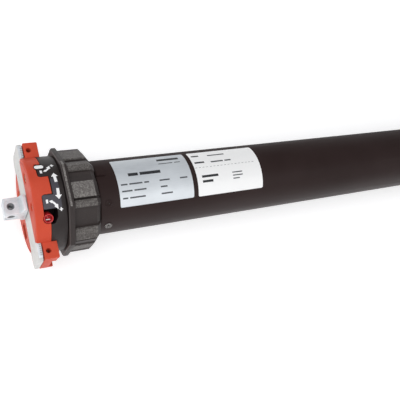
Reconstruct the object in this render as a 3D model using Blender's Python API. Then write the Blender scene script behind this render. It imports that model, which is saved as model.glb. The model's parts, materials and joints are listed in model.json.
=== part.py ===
"""Tubular motor for a roller shutter, 45 mm tube, for a 60 mm octagonal winding tube.

The origin is the centre of the square pin's end face. +X runs along the tube to the drive end,
+Y along the mounting plate and +Z up. Sizes below are in millimetres; meshes are built in metres.
"""
import math

import bmesh
import bpy
from mathutils import Vector

MM = 0.001

# ---- driving dimensions, in millimetres ----
GAP = 0.3                    # running and fitting clearance between neighbouring pieces
SEGMENTS = 40                # sides of the large turned pieces
SMALL_SEGMENTS = 12          # sides of screws, pins and spindles

PIN_SIDE = 10.0              # square bearing pin
PIN_TIP_SIDE = 9.4           # eased end of the pin
PIN_TIP_LENGTH = 3.2
PIN_PROUD = 12.6             # pin length in front of the head's face
PIN_HOLE_RADIUS = 1.5
PIN_HOLE_X = 3.9
SHOULDER_THICKNESS = 2.8
TAIL_SIDE = 8.0              # part of the pin that passes through the plate

FACE_X = PIN_PROUD           # front face of the cap and of the plate
PLATE_THICKNESS = 2.4
STRIP_HALF_WIDTH = 9.0
TAB_HALF_WIDTH = 11.6
TAB_START = 24.6
PLATE_HALF_LENGTH = 35.2
TAB_CORNER = 3.5

HEAD_RADIUS = 28.0
CAP_INNER_RADIUS = 24.8
CAP_FLOOR_X = 17.6           # back of the cap's disc
CAP_SKIRT_X = 20.7           # rear edge of the cap's skirt
TONGUE_X = 23.0              # rear edge of the cap's tongue
TONGUE_ANGLES = (-15.0, 6.3)
SLOT_ANGLES = (-37.0, 38.5)  # the head's tabs fill the slots between these and the tongue
TAB_GAP = 0.7                # degrees left open beside each tab
LUG_X = (15.6, 23.9)
LUG_Y = (25.2, 34.9)
LUG_HALF_WIDTH = 11.8
LUG_HOLE = (18.4, 30.2)
LUG_HOLE_RADIUS = 1.3
CAP_SCREWS = ((12.0, 14.6), (12.0, -14.6))
FACE_RECESSES = ((-6.3, 18.3), (6.3, -18.3))

RIM_END_X = 28.3
NECK_RADIUS = 21.6
NECK_END_X = 50.2
PLUG_RADIUS = 20.9
PLUG_END_X = 84.0
HEAD_BORE_RADIUS = 13.0
HEAD_BORE_X = 30.0
ADJUSTER_ANGLES = {"up": -30.5, "down": 34.0}    # limit screws, either side of the top
ADJUSTER_X = 19.6
ADJUSTER_RADIUS = 2.7
ADJUSTER_FOOT = 22.4
ADJUSTER_TOP = 27.6
SOCKET_Y = -9.5             # mains inlet in the lower half of the face
SOCKET_Z = -18.0
SOCKET_SIZE = (9.0, 6.6)

CROWN_X = 30.3
CROWN_FLATS = 60.0           # across flats of the crown's flange
CROWN_BODY_FLATS = 57.0
CROWN_END_X = 49.5
CROWN_END_FLATS = 51.6
CROWN_BORE_RADIUS = 22.0
CROWN_TEETH = 46
LIMIT_TEETH = 14
LIMIT_MODULE = 1.0

TUBE_RADIUS = 22.5
TUBE_WALL = 1.2
TUBE_X = (50.6, 566.0)
RIVET_X = 55.6
RIVET_ANGLES = (28.0, 68.0, 208.0, 248.0)
REAR_RIVET_ANGLES = (0.0, 180.0)
STOP_X = (50.8, 56.4)
STOP_ANGLES = (-33.0, -14.0)
LABEL_ANGLES = (-45.0, 37.5)
RATING_LABEL_X = (62.4, 110.4)
SERIAL_LABEL_X = (113.6, 161.2)

LIMIT_FRAME_X = (88.0, 130.0)
CAM_TEETH = 24
CAM_PINION_TEETH = 8
CAM_MODULE = 0.9
CAM_UP_X = (98.0, 106.0)
CAM_DOWN_X = (110.0, 118.0)
CAM_RADIUS = 8.5
CAM_NOSE_RADIUS = 9.6

CAPACITOR_X = (172.0, 240.0)
CAPACITOR_RADIUS = 17.4

BRAKE_COIL_X = (288.0, 304.0)
BRAKE_DISC_X = (304.8, 308.8)
FRONT_SHIELD_X = (309.1, 316.0)
STATOR_X = (328.4, 412.0)
WINDING_LENGTH = 11.0
REAR_SHIELD_X = (424.4, 432.0)
SHAFT_RADIUS = 4.0
ROTOR_RADIUS = 11.8
STATOR_BORE_RADIUS = 12.2

GEAR_MODULE = 0.9
SUN_TEETH = 9
PLANET_TEETH = 15
RING_TEETH = SUN_TEETH + 2 * PLANET_TEETH
PLANETS = 3
GEARBOX_X = (432.4, 540.0)
STAGE_X = (437.0, 466.0, 495.0)      # front of the planets in each stage
PLANET_WIDTHS = (12.0, 12.0, 18.0)
CARRIER_THICKNESS = 4.0
OUTPUT_RADIUS = 7.0
GEARBOX_CAP_X = (540.4, 566.0)
BEARING_X = (546.0, 558.0)

WHEEL_X = (568.0, 596.0)
WHEEL_FLATS = 57.0
WHEEL_WALL = 3.0
WHEEL_HUB_RADIUS = 11.0
WHEEL_SQUARE = 10.0
SCREW_END_X = 600.0

MATERIALS = {
    "zinc": ((0.68, 0.70, 0.70), 0.35, 0.9),
    "steel": ((0.55, 0.55, 0.56), 0.3, 1.0),
    "red_plastic": ((0.60, 0.07, 0.04), 0.45, 0.0),
    "black_plastic": ((0.03, 0.03, 0.035), 0.55, 0.0),
    "crown_plastic": ((0.045, 0.042, 0.042), 0.5, 0.0),
    "white_plastic": ((0.85, 0.85, 0.84), 0.45, 0.0),
    "black_paint": ((0.02, 0.015, 0.014), 0.3, 0.3),
    "silver_foil": ((0.68, 0.74, 0.82), 0.35, 0.3),
    "white_foil": ((0.86, 0.88, 0.90), 0.4, 0.0),
    "lamination": ((0.32, 0.33, 0.35), 0.45, 0.9),
    "copper": ((0.62, 0.26, 0.10), 0.4, 0.9),
    "aluminium": ((0.66, 0.67, 0.68), 0.4, 0.9),
    "grey_plastic": ((0.42, 0.43, 0.45), 0.5, 0.0),
}


# ---- helpers ----

def clear_scene():
    for obj in list(bpy.data.objects):
        bpy.data.objects.remove(obj)


def material(name):
    found = bpy.data.materials.get(name)
    if found:
        return found
    color, roughness, metallic = MATERIALS[name]
    made = bpy.data.materials.new(name)
    made.use_nodes = True
    shader = made.node_tree.nodes["Principled BSDF"]
    shader.inputs["Base Color"].default_value = (*color, 1.0)
    shader.inputs["Roughness"].default_value = roughness
    shader.inputs["Metallic"].default_value = metallic
    made.diffuse_color = (*color, 1.0)
    return made


def add_object(name, bm, look=None, location=(0.0, 0.0, 0.0), turn=0.0):
    """Object from a bmesh in millimetres, with its origin at location and turned about X."""
    bmesh.ops.recalc_face_normals(bm, faces=bm.faces)
    bmesh.ops.scale(bm, vec=(MM, MM, MM), verts=bm.verts)
    mesh = bpy.data.meshes.new(name)
    bm.to_mesh(mesh)
    bm.free()
    mesh.shade_smooth()
    mesh.set_sharp_from_angle(angle=math.radians(30))
    if look:
        mesh.materials.append(material(look))
    return place(name, mesh, location, turn)


def place(name, mesh, location=(0.0, 0.0, 0.0), turn=0.0):
    obj = bpy.data.objects.new(name, mesh)
    obj.location = Vector(location) * MM
    obj.rotation_euler = (turn, 0.0, 0.0)
    bpy.context.scene.collection.objects.link(obj)
    return obj


def combine(obj, bm, operation="DIFFERENCE"):
    """Boolean of obj with a hidden guide made from bm."""
    guide = add_object(f"guide_{len(bpy.data.objects)}", bm)
    guide.hide_render = True
    guide.display_type = "WIRE"
    step = obj.modifiers.new(operation.lower(), "BOOLEAN")
    step.operation = operation
    step.object = guide
    return obj


def turned(profile, segments=SEGMENTS, start=0.0):
    """Body turned about X from a closed outline of (x, radius) points."""
    bm = bmesh.new()
    rings = []
    for x, radius in profile:
        if radius < 1e-6:
            rings.append([bm.verts.new((x, 0.0, 0.0))])
            continue
        steps = (start + math.tau * k / segments for k in range(segments))
        rings.append([bm.verts.new((x, radius * math.cos(a), radius * math.sin(a))) for a in steps])
    for first, second in zip(rings, rings[1:] + rings[:1]):
        for k in range(segments):
            corners = [first[k % len(first)], first[(k + 1) % len(first)],
                       second[(k + 1) % len(second)], second[k % len(second)]]
            unique = list(dict.fromkeys(corners))
            if len(unique) > 2:
                bm.faces.new(unique)
    return bm


def ring(x_range, outer, inner, segments=SEGMENTS):
    x0, x1 = x_range
    return turned([(x0, inner), (x0, outer), (x1, outer), (x1, inner)], segments)


def rod(x_range, radius, segments=SMALL_SEGMENTS):
    """Round bar whose edges stay off the planes through its axis that other pieces use."""
    x0, x1 = x_range
    return turned([(x0, 0.0), (x0, radius), (x1, radius), (x1, 0.0)], segments, start=0.11)


def box(x_range, y_range, z_range):
    bm = bmesh.new()
    bmesh.ops.create_cube(bm, size=1.0)
    low, high = zip(x_range, y_range, z_range)
    for vert in bm.verts:
        vert.co = [a + (b - a) * (c + 0.5) for a, b, c in zip(low, high, vert.co)]
    return bm


def circle(radius, segments, centre=(0.0, 0.0), start=0.0):
    angles = [start + math.tau * k / segments for k in range(segments)]
    return [(centre[0] + radius * math.cos(a), centre[1] + radius * math.sin(a)) for a in angles]


def octagon(across_flats):
    return circle(across_flats / 2 / math.cos(math.pi / 8), 8, start=math.pi / 8)


def prism(x_range, *outlines):
    """Solid between x values with (y, z) outlines: the outer one first, then its holes."""
    bm = bmesh.new()
    for x in x_range:
        edges = []
        for outline in outlines:
            verts = [bm.verts.new((x, y, z)) for y, z in outline]
            edges += [bm.edges.new(pair) for pair in zip(verts, verts[1:] + verts[:1])]
        bmesh.ops.triangle_fill(bm, edges=edges, use_beauty=True)
    bm.verts.ensure_lookup_table()
    half = len(bm.verts) // 2
    start = 0
    for outline in outlines:
        count = len(outline)
        for k in range(count):
            a, b = start + k, start + (k + 1) % count
            bm.faces.new([bm.verts[i] for i in (a, b, b + half, a + half)])
        start += count
    return bm


def moved(bm, offset=(0.0, 0.0, 0.0), about_x=0.0):
    """The bmesh turned about X and then shifted."""
    for vert in bm.verts:
        x, y, z = vert.co
        c, s = math.cos(about_x), math.sin(about_x)
        vert.co = Vector((x, y * c - z * s, y * s + z * c)) + Vector(offset)
    return bm


def upright(bm):
    """A body made along X, stood along Z."""
    for vert in bm.verts:
        x, y, z = vert.co
        vert.co = (-z, y, x)
    return bm


def sector(x_range, outer, inner, angles, steps):
    """Block of a ring between two angles, in degrees from +Z towards -Y."""
    first, last = (math.radians(a) for a in angles)
    spread = [first + (last - first) * k / steps for k in range(steps + 1)]
    outline = [(-outer * math.sin(a), outer * math.cos(a)) for a in spread]
    outline += [(-inner * math.sin(a), inner * math.cos(a)) for a in reversed(spread)]
    return prism(x_range, outline)


def radial_rod(x, angle, radius, low, high, segments=SMALL_SEGMENTS):
    """Round body that points away from the tube's axis at the given angle."""
    bm = upright(rod((low, high), radius, segments))
    return moved(bm, (x, 0.0, 0.0), math.radians(angle))


def gear_outline(teeth, module, low, high, play, phase=0.0):
    """Straight sided teeth whose widths follow an involute; a negative play widens them."""
    pressure = math.radians(22.0)
    pitch = teeth * module / 2
    base = pitch * math.cos(pressure)

    def half_angle(radius):
        local = math.acos(min(1.0, base / radius))
        involute = (math.tan(pressure) - pressure) - (math.tan(local) - local)
        return math.pi / (2 * teeth) - play / (2 * pitch) + involute

    points = []
    for k in range(teeth):
        centre = phase + math.tau * k / teeth
        for radius, side in ((low, -1), (high, -1), (high, 1), (low, 1)):
            a = centre + side * half_angle(radius)
            points.append((radius * math.cos(a), radius * math.sin(a)))
    return points


def spur(teeth, module, phase=0.0, play=0.22):
    pitch = teeth * module / 2
    return gear_outline(teeth, module, pitch - 1.15 * module, pitch + 0.85 * module, play, phase)


def internal(teeth, module, phase=0.0, play=0.22):
    """Outline of the opening of an internal gear, with a tooth space at the phase angle."""
    pitch = teeth * module / 2
    return gear_outline(teeth, module, pitch - 0.8 * module, pitch + 1.15 * module, -play, phase)


# ---- head ----

def square(side):
    h = side / 2
    return [(-h, -h), (h, -h), (h, h), (-h, h)]


def square_pin():
    pin = add_object("square_pin", prism((PIN_TIP_LENGTH, PIN_PROUD - GAP), square(PIN_SIDE)), "zinc")
    combine(pin, prism((0.0, PIN_TIP_LENGTH + 1), square(PIN_TIP_SIDE)), "UNION")
    shoulder = (FACE_X - GAP - SHOULDER_THICKNESS, FACE_X - GAP)
    combine(pin, box(shoulder, (-PIN_SIDE / 2 + 0.1, PIN_SIDE / 2 - 0.1), (-STRIP_HALF_WIDTH, STRIP_HALF_WIDTH)),
            "UNION")
    combine(pin, prism((FACE_X - 1, CAP_FLOOR_X - GAP), square(TAIL_SIDE)), "UNION")
    for angle in (0.0, 90.0):
        combine(pin, radial_rod(PIN_HOLE_X, angle, PIN_HOLE_RADIUS, -PIN_SIDE, PIN_SIDE))


def mounting_plate():
    h, w, s = PLATE_HALF_LENGTH, TAB_HALF_WIDTH, STRIP_HALF_WIDTH
    quarter = [(h, w - TAB_CORNER), (h - TAB_CORNER, w), (TAB_START, w), (TAB_START, s)]
    half = quarter + [(-y, z) for y, z in reversed(quarter)]
    outline = half + [(-y, -z) for y, z in half]
    hole = square(TAIL_SIDE + 2 * GAP)
    add_object("mounting_plate", prism((FACE_X, FACE_X + PLATE_THICKNESS), outline, hole), "zinc")


def front_cap():
    cap = add_object("front_cap", turned([
        (FACE_X, 0.0), (FACE_X, HEAD_RADIUS), (TONGUE_X, HEAD_RADIUS),
        (TONGUE_X, CAP_INNER_RADIUS), (CAP_FLOOR_X, CAP_INNER_RADIUS), (CAP_FLOOR_X, 0.0)]), "red_plastic")
    wall = (HEAD_RADIUS + 1, CAP_INNER_RADIUS - 1)
    first, last = TONGUE_ANGLES
    combine(cap, sector((CAP_SKIRT_X, TONGUE_X + 1), *wall, (last, 360 + first), 40))
    for slot in ((SLOT_ANGLES[0], first + 0.01), (last - 0.01, SLOT_ANGLES[1])):
        combine(cap, sector((CAP_FLOOR_X - GAP, TONGUE_X + 1), *wall, slot, 4))
    for side in (-1, 1):
        lug_y = sorted((side * LUG_Y[0], side * LUG_Y[1]))
        combine(cap, box(LUG_X, lug_y, (-LUG_HALF_WIDTH, LUG_HALF_WIDTH)), "UNION")
        hole = radial_rod(LUG_HOLE[0], 0.0, LUG_HOLE_RADIUS, -20.0, 20.0)
        combine(cap, moved(hole, (0.0, side * LUG_HOLE[1], 0.0)))
        pocket_y = sorted((side * (LUG_Y[0] + 2.5), side * (LUG_Y[1] + 1)))
        combine(cap, box((LUG_X[1] - 1.1, LUG_X[1] + 1), pocket_y, (-LUG_HALF_WIDTH + 2.4, LUG_HALF_WIDTH - 2.4)))
    groove = FACE_X + PLATE_THICKNESS + GAP
    combine(cap, box((FACE_X - 1, groove), (-40.0, 40.0),
                     (-STRIP_HALF_WIDTH - GAP, STRIP_HALF_WIDTH + GAP)))
    for side in (-1, 1):
        tab_y = sorted((side * (TAB_START - GAP), side * 40.0))
        combine(cap, box((FACE_X - 1, groove), tab_y, (-TAB_HALF_WIDTH - GAP, TAB_HALF_WIDTH + GAP)))
    combine(cap, prism((FACE_X, CAP_FLOOR_X + 1), square(TAIL_SIDE + 2 * GAP)))
    for y, z in CAP_SCREWS:
        seat, end = FACE_X + 2.8, CAP_FLOOR_X + 1
        hole = turned([(FACE_X - 1, 0.0), (FACE_X - 1, 2.9), (seat, 2.9), (seat, 1.6), (end, 1.6), (end, 0.0)],
                      SMALL_SEGMENTS)
        combine(cap, moved(hole, (0.0, y, z)))
    for y, z in FACE_RECESSES:
        combine(cap, moved(rod((FACE_X - 1, FACE_X + 3.2), 2.4), (0.0, y, z)))
    combine(cap, box((FACE_X - 1, CAP_SKIRT_X + 1), *socket_hole(GAP)))
    for angle in ADJUSTER_ANGLES.values():
        combine(cap, adjuster_hole(angle))


def socket_hole(margin):
    """Y and Z ranges of the mains inlet, widened by the margin."""
    width, height = SOCKET_SIZE
    return ((SOCKET_Y - width / 2 - margin, SOCKET_Y + width / 2 + margin),
            (SOCKET_Z - height / 2 - margin, SOCKET_Z + height / 2 + margin))


def adjuster_hole(angle):
    return radial_rod(ADJUSTER_X, angle, ADJUSTER_RADIUS + GAP, ADJUSTER_FOOT - GAP, HEAD_RADIUS + 2, 14)


def cap_screws():
    for k, (y, z) in enumerate(CAP_SCREWS, 1):
        head = turned([(FACE_X + 0.5, 0.0), (FACE_X + 0.5, 1.6), (FACE_X + 1.0, 2.5), (FACE_X + 2.5, 2.5),
                       (FACE_X + 2.5, 1.3), (FACE_X + 9.0, 1.3), (FACE_X + 9.0, 0.0)], SMALL_SEGMENTS)
        add_object(f"cap_screw_{k}", head, "zinc", (0.0, y, z))


def head_body():
    hub_x = CAP_FLOOR_X + GAP
    body = add_object("head_body", turned([
        (hub_x, 0.0), (hub_x, HEAD_RADIUS), (RIM_END_X, HEAD_RADIUS), (RIM_END_X, NECK_RADIUS),
        (NECK_END_X, NECK_RADIUS), (NECK_END_X, PLUG_RADIUS), (PLUG_END_X, PLUG_RADIUS),
        (PLUG_END_X, HEAD_BORE_RADIUS), (HEAD_BORE_X, HEAD_BORE_RADIUS), (HEAD_BORE_X, 0.0)]), "black_plastic")
    wall = (HEAD_RADIUS + 1, CAP_INNER_RADIUS - GAP)
    skirt = (SLOT_ANGLES[1] - TAB_GAP, 360 + SLOT_ANGLES[0] + TAB_GAP)
    tongue = (TONGUE_ANGLES[0] - TAB_GAP, TONGUE_ANGLES[1] + TAB_GAP)
    combine(body, sector((hub_x - 1, CAP_SKIRT_X + GAP), *wall, skirt, 40))
    combine(body, sector((hub_x - 1, TONGUE_X + GAP), *wall, tongue, 4))
    for side in (-1, 1):
        lug_y = sorted((side * (LUG_Y[0] - GAP), side * 40.0))
        combine(body, box((CAP_FLOOR_X, LUG_X[1] + GAP), lug_y, (-LUG_HALF_WIDTH - GAP, LUG_HALF_WIDTH + GAP)))
    for angle in ADJUSTER_ANGLES.values():
        combine(body, adjuster_hole(angle))
    for y, z in CAP_SCREWS:
        combine(body, moved(rod((CAP_FLOOR_X - 1, FACE_X + 9.4), 1.6, 10), (0.0, y, z)))
    combine(body, box((CAP_FLOOR_X - 1, HEAD_BORE_X + 1), *socket_hole(GAP)))
    step, end = NECK_END_X - 1.2, PLUG_END_X + 1
    limit_hole = turned([(42.8, 0.0), (42.8, 8.6), (step, 8.6), (step, 2.2), (end, 2.2), (end, 0.0)], 18, 0.11)
    combine(body, moved(limit_hole, (0.0, 0.0, -LIMIT_AXIS)))
    for angle in RIVET_ANGLES + (sum(STOP_ANGLES) / 2,):
        combine(body, radial_rod(RIVET_X if angle > 0 else sum(STOP_X) / 2, angle, 1.7, 15.0, 25.0))


def adjusting_screws():
    for way, look in (("up", "white_plastic"), ("down", "red_plastic")):
        angle = math.radians(ADJUSTER_ANGLES[way])
        centre = (ADJUSTER_X, -ADJUSTER_FOOT * math.sin(angle), ADJUSTER_FOOT * math.cos(angle))
        length = ADJUSTER_TOP - ADJUSTER_FOOT
        screw = add_object(f"adjusting_screw_{way}", upright(rod((0.0, length), ADJUSTER_RADIUS, 14)), look, centre, angle)
        key = upright(rod((length / 2, length + 1), 1.5, 6))
        combine(screw, moved(moved(key, about_x=angle), centre))


def cable_socket():
    (y0, y1), (z0, z1) = socket_hole(0.0)
    socket = add_object("cable_socket", box((CAP_FLOOR_X - 3.4, HEAD_BORE_X - 1.5), (y0, y1), (z0, z1)),
                        "black_plastic")
    wall = 0.9
    combine(socket, box((FACE_X - 1, HEAD_BORE_X - 4.5), (y0 + wall, y1 - wall), (z0 + wall, z1 - wall)))


# ---- crown and limit switch ----

LIMIT_AXIS = (CROWN_TEETH - LIMIT_TEETH) * LIMIT_MODULE / 2
CAM_AXIS = LIMIT_AXIS - (CAM_TEETH + CAM_PINION_TEETH) * CAM_MODULE / 2
DOWN = -math.pi / 2


def crown_ring():
    sections = [(CROWN_X, CROWN_FLATS - 2.4), (CROWN_X + 1.0, CROWN_FLATS), (CROWN_X + 3.0, CROWN_FLATS),
                (CROWN_X + 3.6, CROWN_BODY_FLATS), (CROWN_END_X - 3.0, CROWN_BODY_FLATS),
                (CROWN_END_X, CROWN_END_FLATS)]
    reach = 1 / math.cos(math.pi / 8) / 2
    bm = turned([(sections[0][0], 0.0)] + [(x, flats * reach) for x, flats in sections]
                + [(sections[-1][0], 0.0)], 8, math.pi / 8)
    crown = add_object("crown_ring", bm, "crown_plastic")
    combine(crown, rod((CROWN_X - 1, CROWN_END_X + 1), CROWN_BORE_RADIUS, SEGMENTS))
    combine(crown, prism((43.0, CROWN_END_X + 1), internal(CROWN_TEETH, LIMIT_MODULE, DOWN)))


def crown_stop():
    stop = add_object("crown_stop", sector(STOP_X, TUBE_RADIUS + 1.3, TUBE_RADIUS + GAP, STOP_ANGLES, 3),
                      "black_plastic")
    middle = sum(STOP_ANGLES) / 2
    combine(stop, radial_rod(sum(STOP_X) / 2, middle, 1.3, 17.0, TUBE_RADIUS + 0.9), "UNION")


def limit_pinion():
    end = LIMIT_FRAME_X[1] + 1.5
    shaft = add_object("limit_pinion", rod((43.4, end), 1.5), "white_plastic", (0.0, 0.0, -LIMIT_AXIS))
    offset = (0.0, 0.0, -LIMIT_AXIS)
    gear = prism((43.4, 47.6), spur(LIMIT_TEETH, LIMIT_MODULE, DOWN))
    combine(shaft, moved(gear, offset), "UNION")
    drive = prism((CAM_UP_X[0] - 1, CAM_DOWN_X[1] + 1), spur(CAM_PINION_TEETH, CAM_MODULE, -DOWN))
    combine(shaft, moved(drive, offset), "UNION")


def cam_outline(lobe):
    """Round disc with one raised nose, at the given angle in degrees."""
    points = []
    for k in range(24):
        off = (15 * k - lobe + 180) % 360 - 180
        radius = CAM_NOSE_RADIUS if abs(off) < 16 else CAM_RADIUS
        points.append((radius * math.cos(math.radians(15 * k)), radius * math.sin(math.radians(15 * k))))
    return points


def cams():
    for name, x_range, lobe in (("limit_cam_up", CAM_UP_X, 20.0), ("limit_cam_down", CAM_DOWN_X, 160.0)):
        x0, x1 = x_range
        teeth = prism((x0, x0 + 4), spur(CAM_TEETH, CAM_MODULE, DOWN + math.pi / CAM_TEETH))
        cam = add_object(name, teeth, "white_plastic", (0.0, 0.0, -CAM_AXIS))
        combine(cam, moved(prism((x0 + 3, x1), cam_outline(lobe)), (0.0, 0.0, -CAM_AXIS)), "UNION")
        combine(cam, moved(rod((x0 - 1, x1 + 1), 1.9), (0.0, 0.0, -CAM_AXIS)))


def limit_frame():
    x0, x1 = LIMIT_FRAME_X
    plates = ((x0, x0 + 3), (x1 - 3, x1))
    frame = add_object("limit_frame", box((x0 + 1, x1 - 1), (-11.5, 11.5), (14.2, 16.4)), "grey_plastic")
    for plate in plates:
        combine(frame, prism(plate, circle(PLUG_RADIUS - 0.2, 28)), "UNION")
    combine(frame, moved(rod((x0 - 1, x1 + 1), 1.8), (0.0, 0.0, -LIMIT_AXIS)))
    combine(frame, moved(rod((x0 - 1, x1 + 1), 1.8), (0.0, 0.0, -CAM_AXIS)))
    add_object("cam_spindle", rod((x0 - 0.6, x1 + 0.6), 1.5), "steel", (0.0, 0.0, -CAM_AXIS))


def limit_switches():
    for name, x_range in (("limit_switch_up", CAM_UP_X), ("limit_switch_down", CAM_DOWN_X)):
        x0, x1 = x_range[0] + 4.4, x_range[1] + 1.2
        case = add_object(name, box((x0, x1), (-9.0, 9.0), (9.2, 13.9)), "black_plastic")
        combine(case, moved(upright(rod((7.7, 9.8), 1.1, 12)), ((x0 + x1) / 2, -4.0, 0.0)), "UNION")


# ---- tube and what is on it ----

def motor_tube():
    tube = add_object("motor_tube", ring(TUBE_X, TUBE_RADIUS, TUBE_RADIUS - TUBE_WALL), "black_paint")
    for angle in RIVET_ANGLES:
        combine(tube, radial_rod(RIVET_X, angle, 1.7, 18.0, 25.0))
    combine(tube, radial_rod(sum(STOP_X) / 2, sum(STOP_ANGLES) / 2, 1.7, 18.0, 25.0))
    for angle in REAR_RIVET_ANGLES:
        combine(tube, radial_rod(GEARBOX_CAP_X[1] - 4, angle, 1.7, 18.0, 25.0))


def rivets():
    front = [(RIVET_X, angle, 18.5) for angle in RIVET_ANGLES]
    rear = [(GEARBOX_CAP_X[1] - 4, angle, 18.5) for angle in REAR_RIVET_ANGLES]
    for k, (x, angle, low) in enumerate(front + rear, 1):
        top = TUBE_RADIUS + GAP
        bm = turned([(low, 0.0), (low, 1.4), (top, 1.4), (top, 2.3), (top + 0.5, 1.8), (top + 0.8, 0.0)], 12)
        turn = math.radians(angle)
        add_object(f"tube_rivet_{k}", upright(bm), "black_paint", (x, 0.0, 0.0), turn)


def labels():
    steps = round((LABEL_ANGLES[1] - LABEL_ANGLES[0]) * SEGMENTS / 360)
    for name, x_range, look in (("rating_label", RATING_LABEL_X, "silver_foil"),
                                ("serial_label", SERIAL_LABEL_X, "white_foil")):
        bm = sector(x_range, TUBE_RADIUS + 0.18, TUBE_RADIUS + 0.06, LABEL_ANGLES, steps)
        add_object(name, bm, look)


# ---- capacitor, brake and motor ----

def capacitor():
    x0, x1 = CAPACITOR_X
    r = CAPACITOR_RADIUS
    can = add_object("run_capacitor", turned([
        (x0, 0.0), (x0, r - 1.5), (x0 + 1, r - 1.5), (x0 + 1.6, r), (x1 - 1.5, r), (x1, r - 1.5), (x1, 0.0)], 24),
        "grey_plastic")
    for y in (-6.0, 6.0):
        combine(can, box((x0 - 7, x0 + 1), (y - 0.4, y + 0.4), (-3.0, 3.0)), "UNION")
    for k, x in enumerate((x0 + 10, x1 - 20), 1):
        add_object(f"capacitor_ring_{k}", ring((x, x + 8), PLUG_RADIUS, r + GAP, 24), "black_plastic")


def brake():
    bore = 8.4
    add_object("brake_coil", ring(BRAKE_COIL_X, PLUG_RADIUS - 0.3, bore, 28), "copper")
    disc = turned([(BRAKE_DISC_X[0], SHAFT_RADIUS + GAP), (BRAKE_DISC_X[0], 16.0), (BRAKE_DISC_X[1], 16.0),
                   (BRAKE_DISC_X[1], SHAFT_RADIUS + GAP)], 24)
    add_object("brake_disc", disc, "lamination")
    add_object("brake_spring", spring((BRAKE_COIL_X[0] + 2, BRAKE_DISC_X[0] - 0.8), 6.3, 0.8, 4), "steel")


def spring(x_range, radius, wire, turns):
    """Round wire coil about X, swept ring by ring, with closed ends."""
    x0, x1 = x_range[0] + wire, x_range[1] - wire
    bm = bmesh.new()
    steps, sides = turns * 10, 5
    sections = []
    for k in range(steps + 1):
        a = math.tau * turns * k / steps
        outward = Vector((0.0, math.cos(a), math.sin(a)))
        centre = Vector((x0 + (x1 - x0) * k / steps, 0.0, 0.0)) + outward * radius
        section = []
        for side in range(sides):
            b = math.tau * side / sides
            section.append(bm.verts.new(centre + (outward * math.cos(b) + Vector((math.sin(b), 0.0, 0.0))) * wire))
        sections.append(section)
    for first, second in zip(sections, sections[1:]):
        for side in range(sides):
            after = (side + 1) % sides
            bm.faces.new((first[side], first[after], second[after], second[side]))
    bm.faces.new(sections[0])
    bm.faces.new(sections[-1])
    return bm


def shields():
    for name, x_range, bearing_x in (
            ("front_shield", FRONT_SHIELD_X, (FRONT_SHIELD_X[0] + 1.6, FRONT_SHIELD_X[1] - 0.4)),
            ("rear_shield", REAR_SHIELD_X, (REAR_SHIELD_X[0] + 0.4, REAR_SHIELD_X[1] - 1.6))):
        seat = 8.0
        x0, x1 = x_range
        b0, b1 = bearing_x
        narrow = SHAFT_RADIUS + 1.2
        inner = [(x0, narrow), (b0 - GAP, narrow), (b0 - GAP, seat), (x1, seat)]
        if name == "rear_shield":
            inner = [(x0, seat), (b1 + GAP, seat), (b1 + GAP, narrow), (x1, narrow)]
        profile = [(x0, PLUG_RADIUS), (x1, PLUG_RADIUS)] + list(reversed(inner))
        add_object(name, turned(profile, 24), "aluminium")
        bearing = name.replace("shield", "bearing")
        add_object(bearing, ring(bearing_x, seat - GAP, SHAFT_RADIUS + GAP, 16), "steel")


def stator():
    add_object("stator_core", ring(STATOR_X, PLUG_RADIUS, STATOR_BORE_RADIUS, 32), "lamination")
    for name, x_range in (("winding_front", (STATOR_X[0] - GAP - WINDING_LENGTH, STATOR_X[0] - GAP)),
                          ("winding_rear", (STATOR_X[1] + GAP, STATOR_X[1] + GAP + WINDING_LENGTH))):
        x0, x1 = x_range
        profile = [(x0, 13.2), (x0, 17.6), (x0 + 2, 19.6), (x1 - 2, 19.6), (x1, 17.6), (x1, 13.2)]
        add_object(name, turned(profile, 24), "copper")


def rotor():
    bore = SHAFT_RADIUS + GAP
    add_object("rotor_core", ring((STATOR_X[0] + 1, STATOR_X[1] - 1), ROTOR_RADIUS, bore, 24), "lamination")
    shaft_end = STAGE_X[0] - 2.4
    shaft = add_object("rotor_shaft", rod((BRAKE_COIL_X[0] + 3, shaft_end), SHAFT_RADIUS, 24), "steel")
    sun = prism((shaft_end - 1, STAGE_X[0] + PLANET_WIDTHS[0]), spur(SUN_TEETH, GEAR_MODULE))
    combine(shaft, sun, "UNION")


# ---- gearbox ----

def gearbox_ring():
    outline = circle(PLUG_RADIUS, 32)
    opening = internal(RING_TEETH, GEAR_MODULE)
    add_object("gearbox_ring", prism(GEARBOX_X, outline, opening), "steel")


def planet_places():
    """Angle and centre of each planet of a stage."""
    distance = (SUN_TEETH + PLANET_TEETH) * GEAR_MODULE / 2
    for k in range(PLANETS):
        angle = math.tau * k / PLANETS
        yield angle, distance * math.cos(angle), distance * math.sin(angle)


def planet_gears():
    for stage, (x0, width) in enumerate(zip(STAGE_X, PLANET_WIDTHS), 1):
        mesh = None
        for letter, (angle, y, z) in zip("abc", planet_places()):
            name = f"planet_{stage}{letter}"
            if mesh is None:
                gear = prism((x0, x0 + width), spur(PLANET_TEETH, GEAR_MODULE), circle(2.3, 12))
                mesh = add_object(name, gear, "steel", (0.0, y, z), angle).data
            else:
                place(name, mesh, (0.0, y, z), angle)


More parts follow.
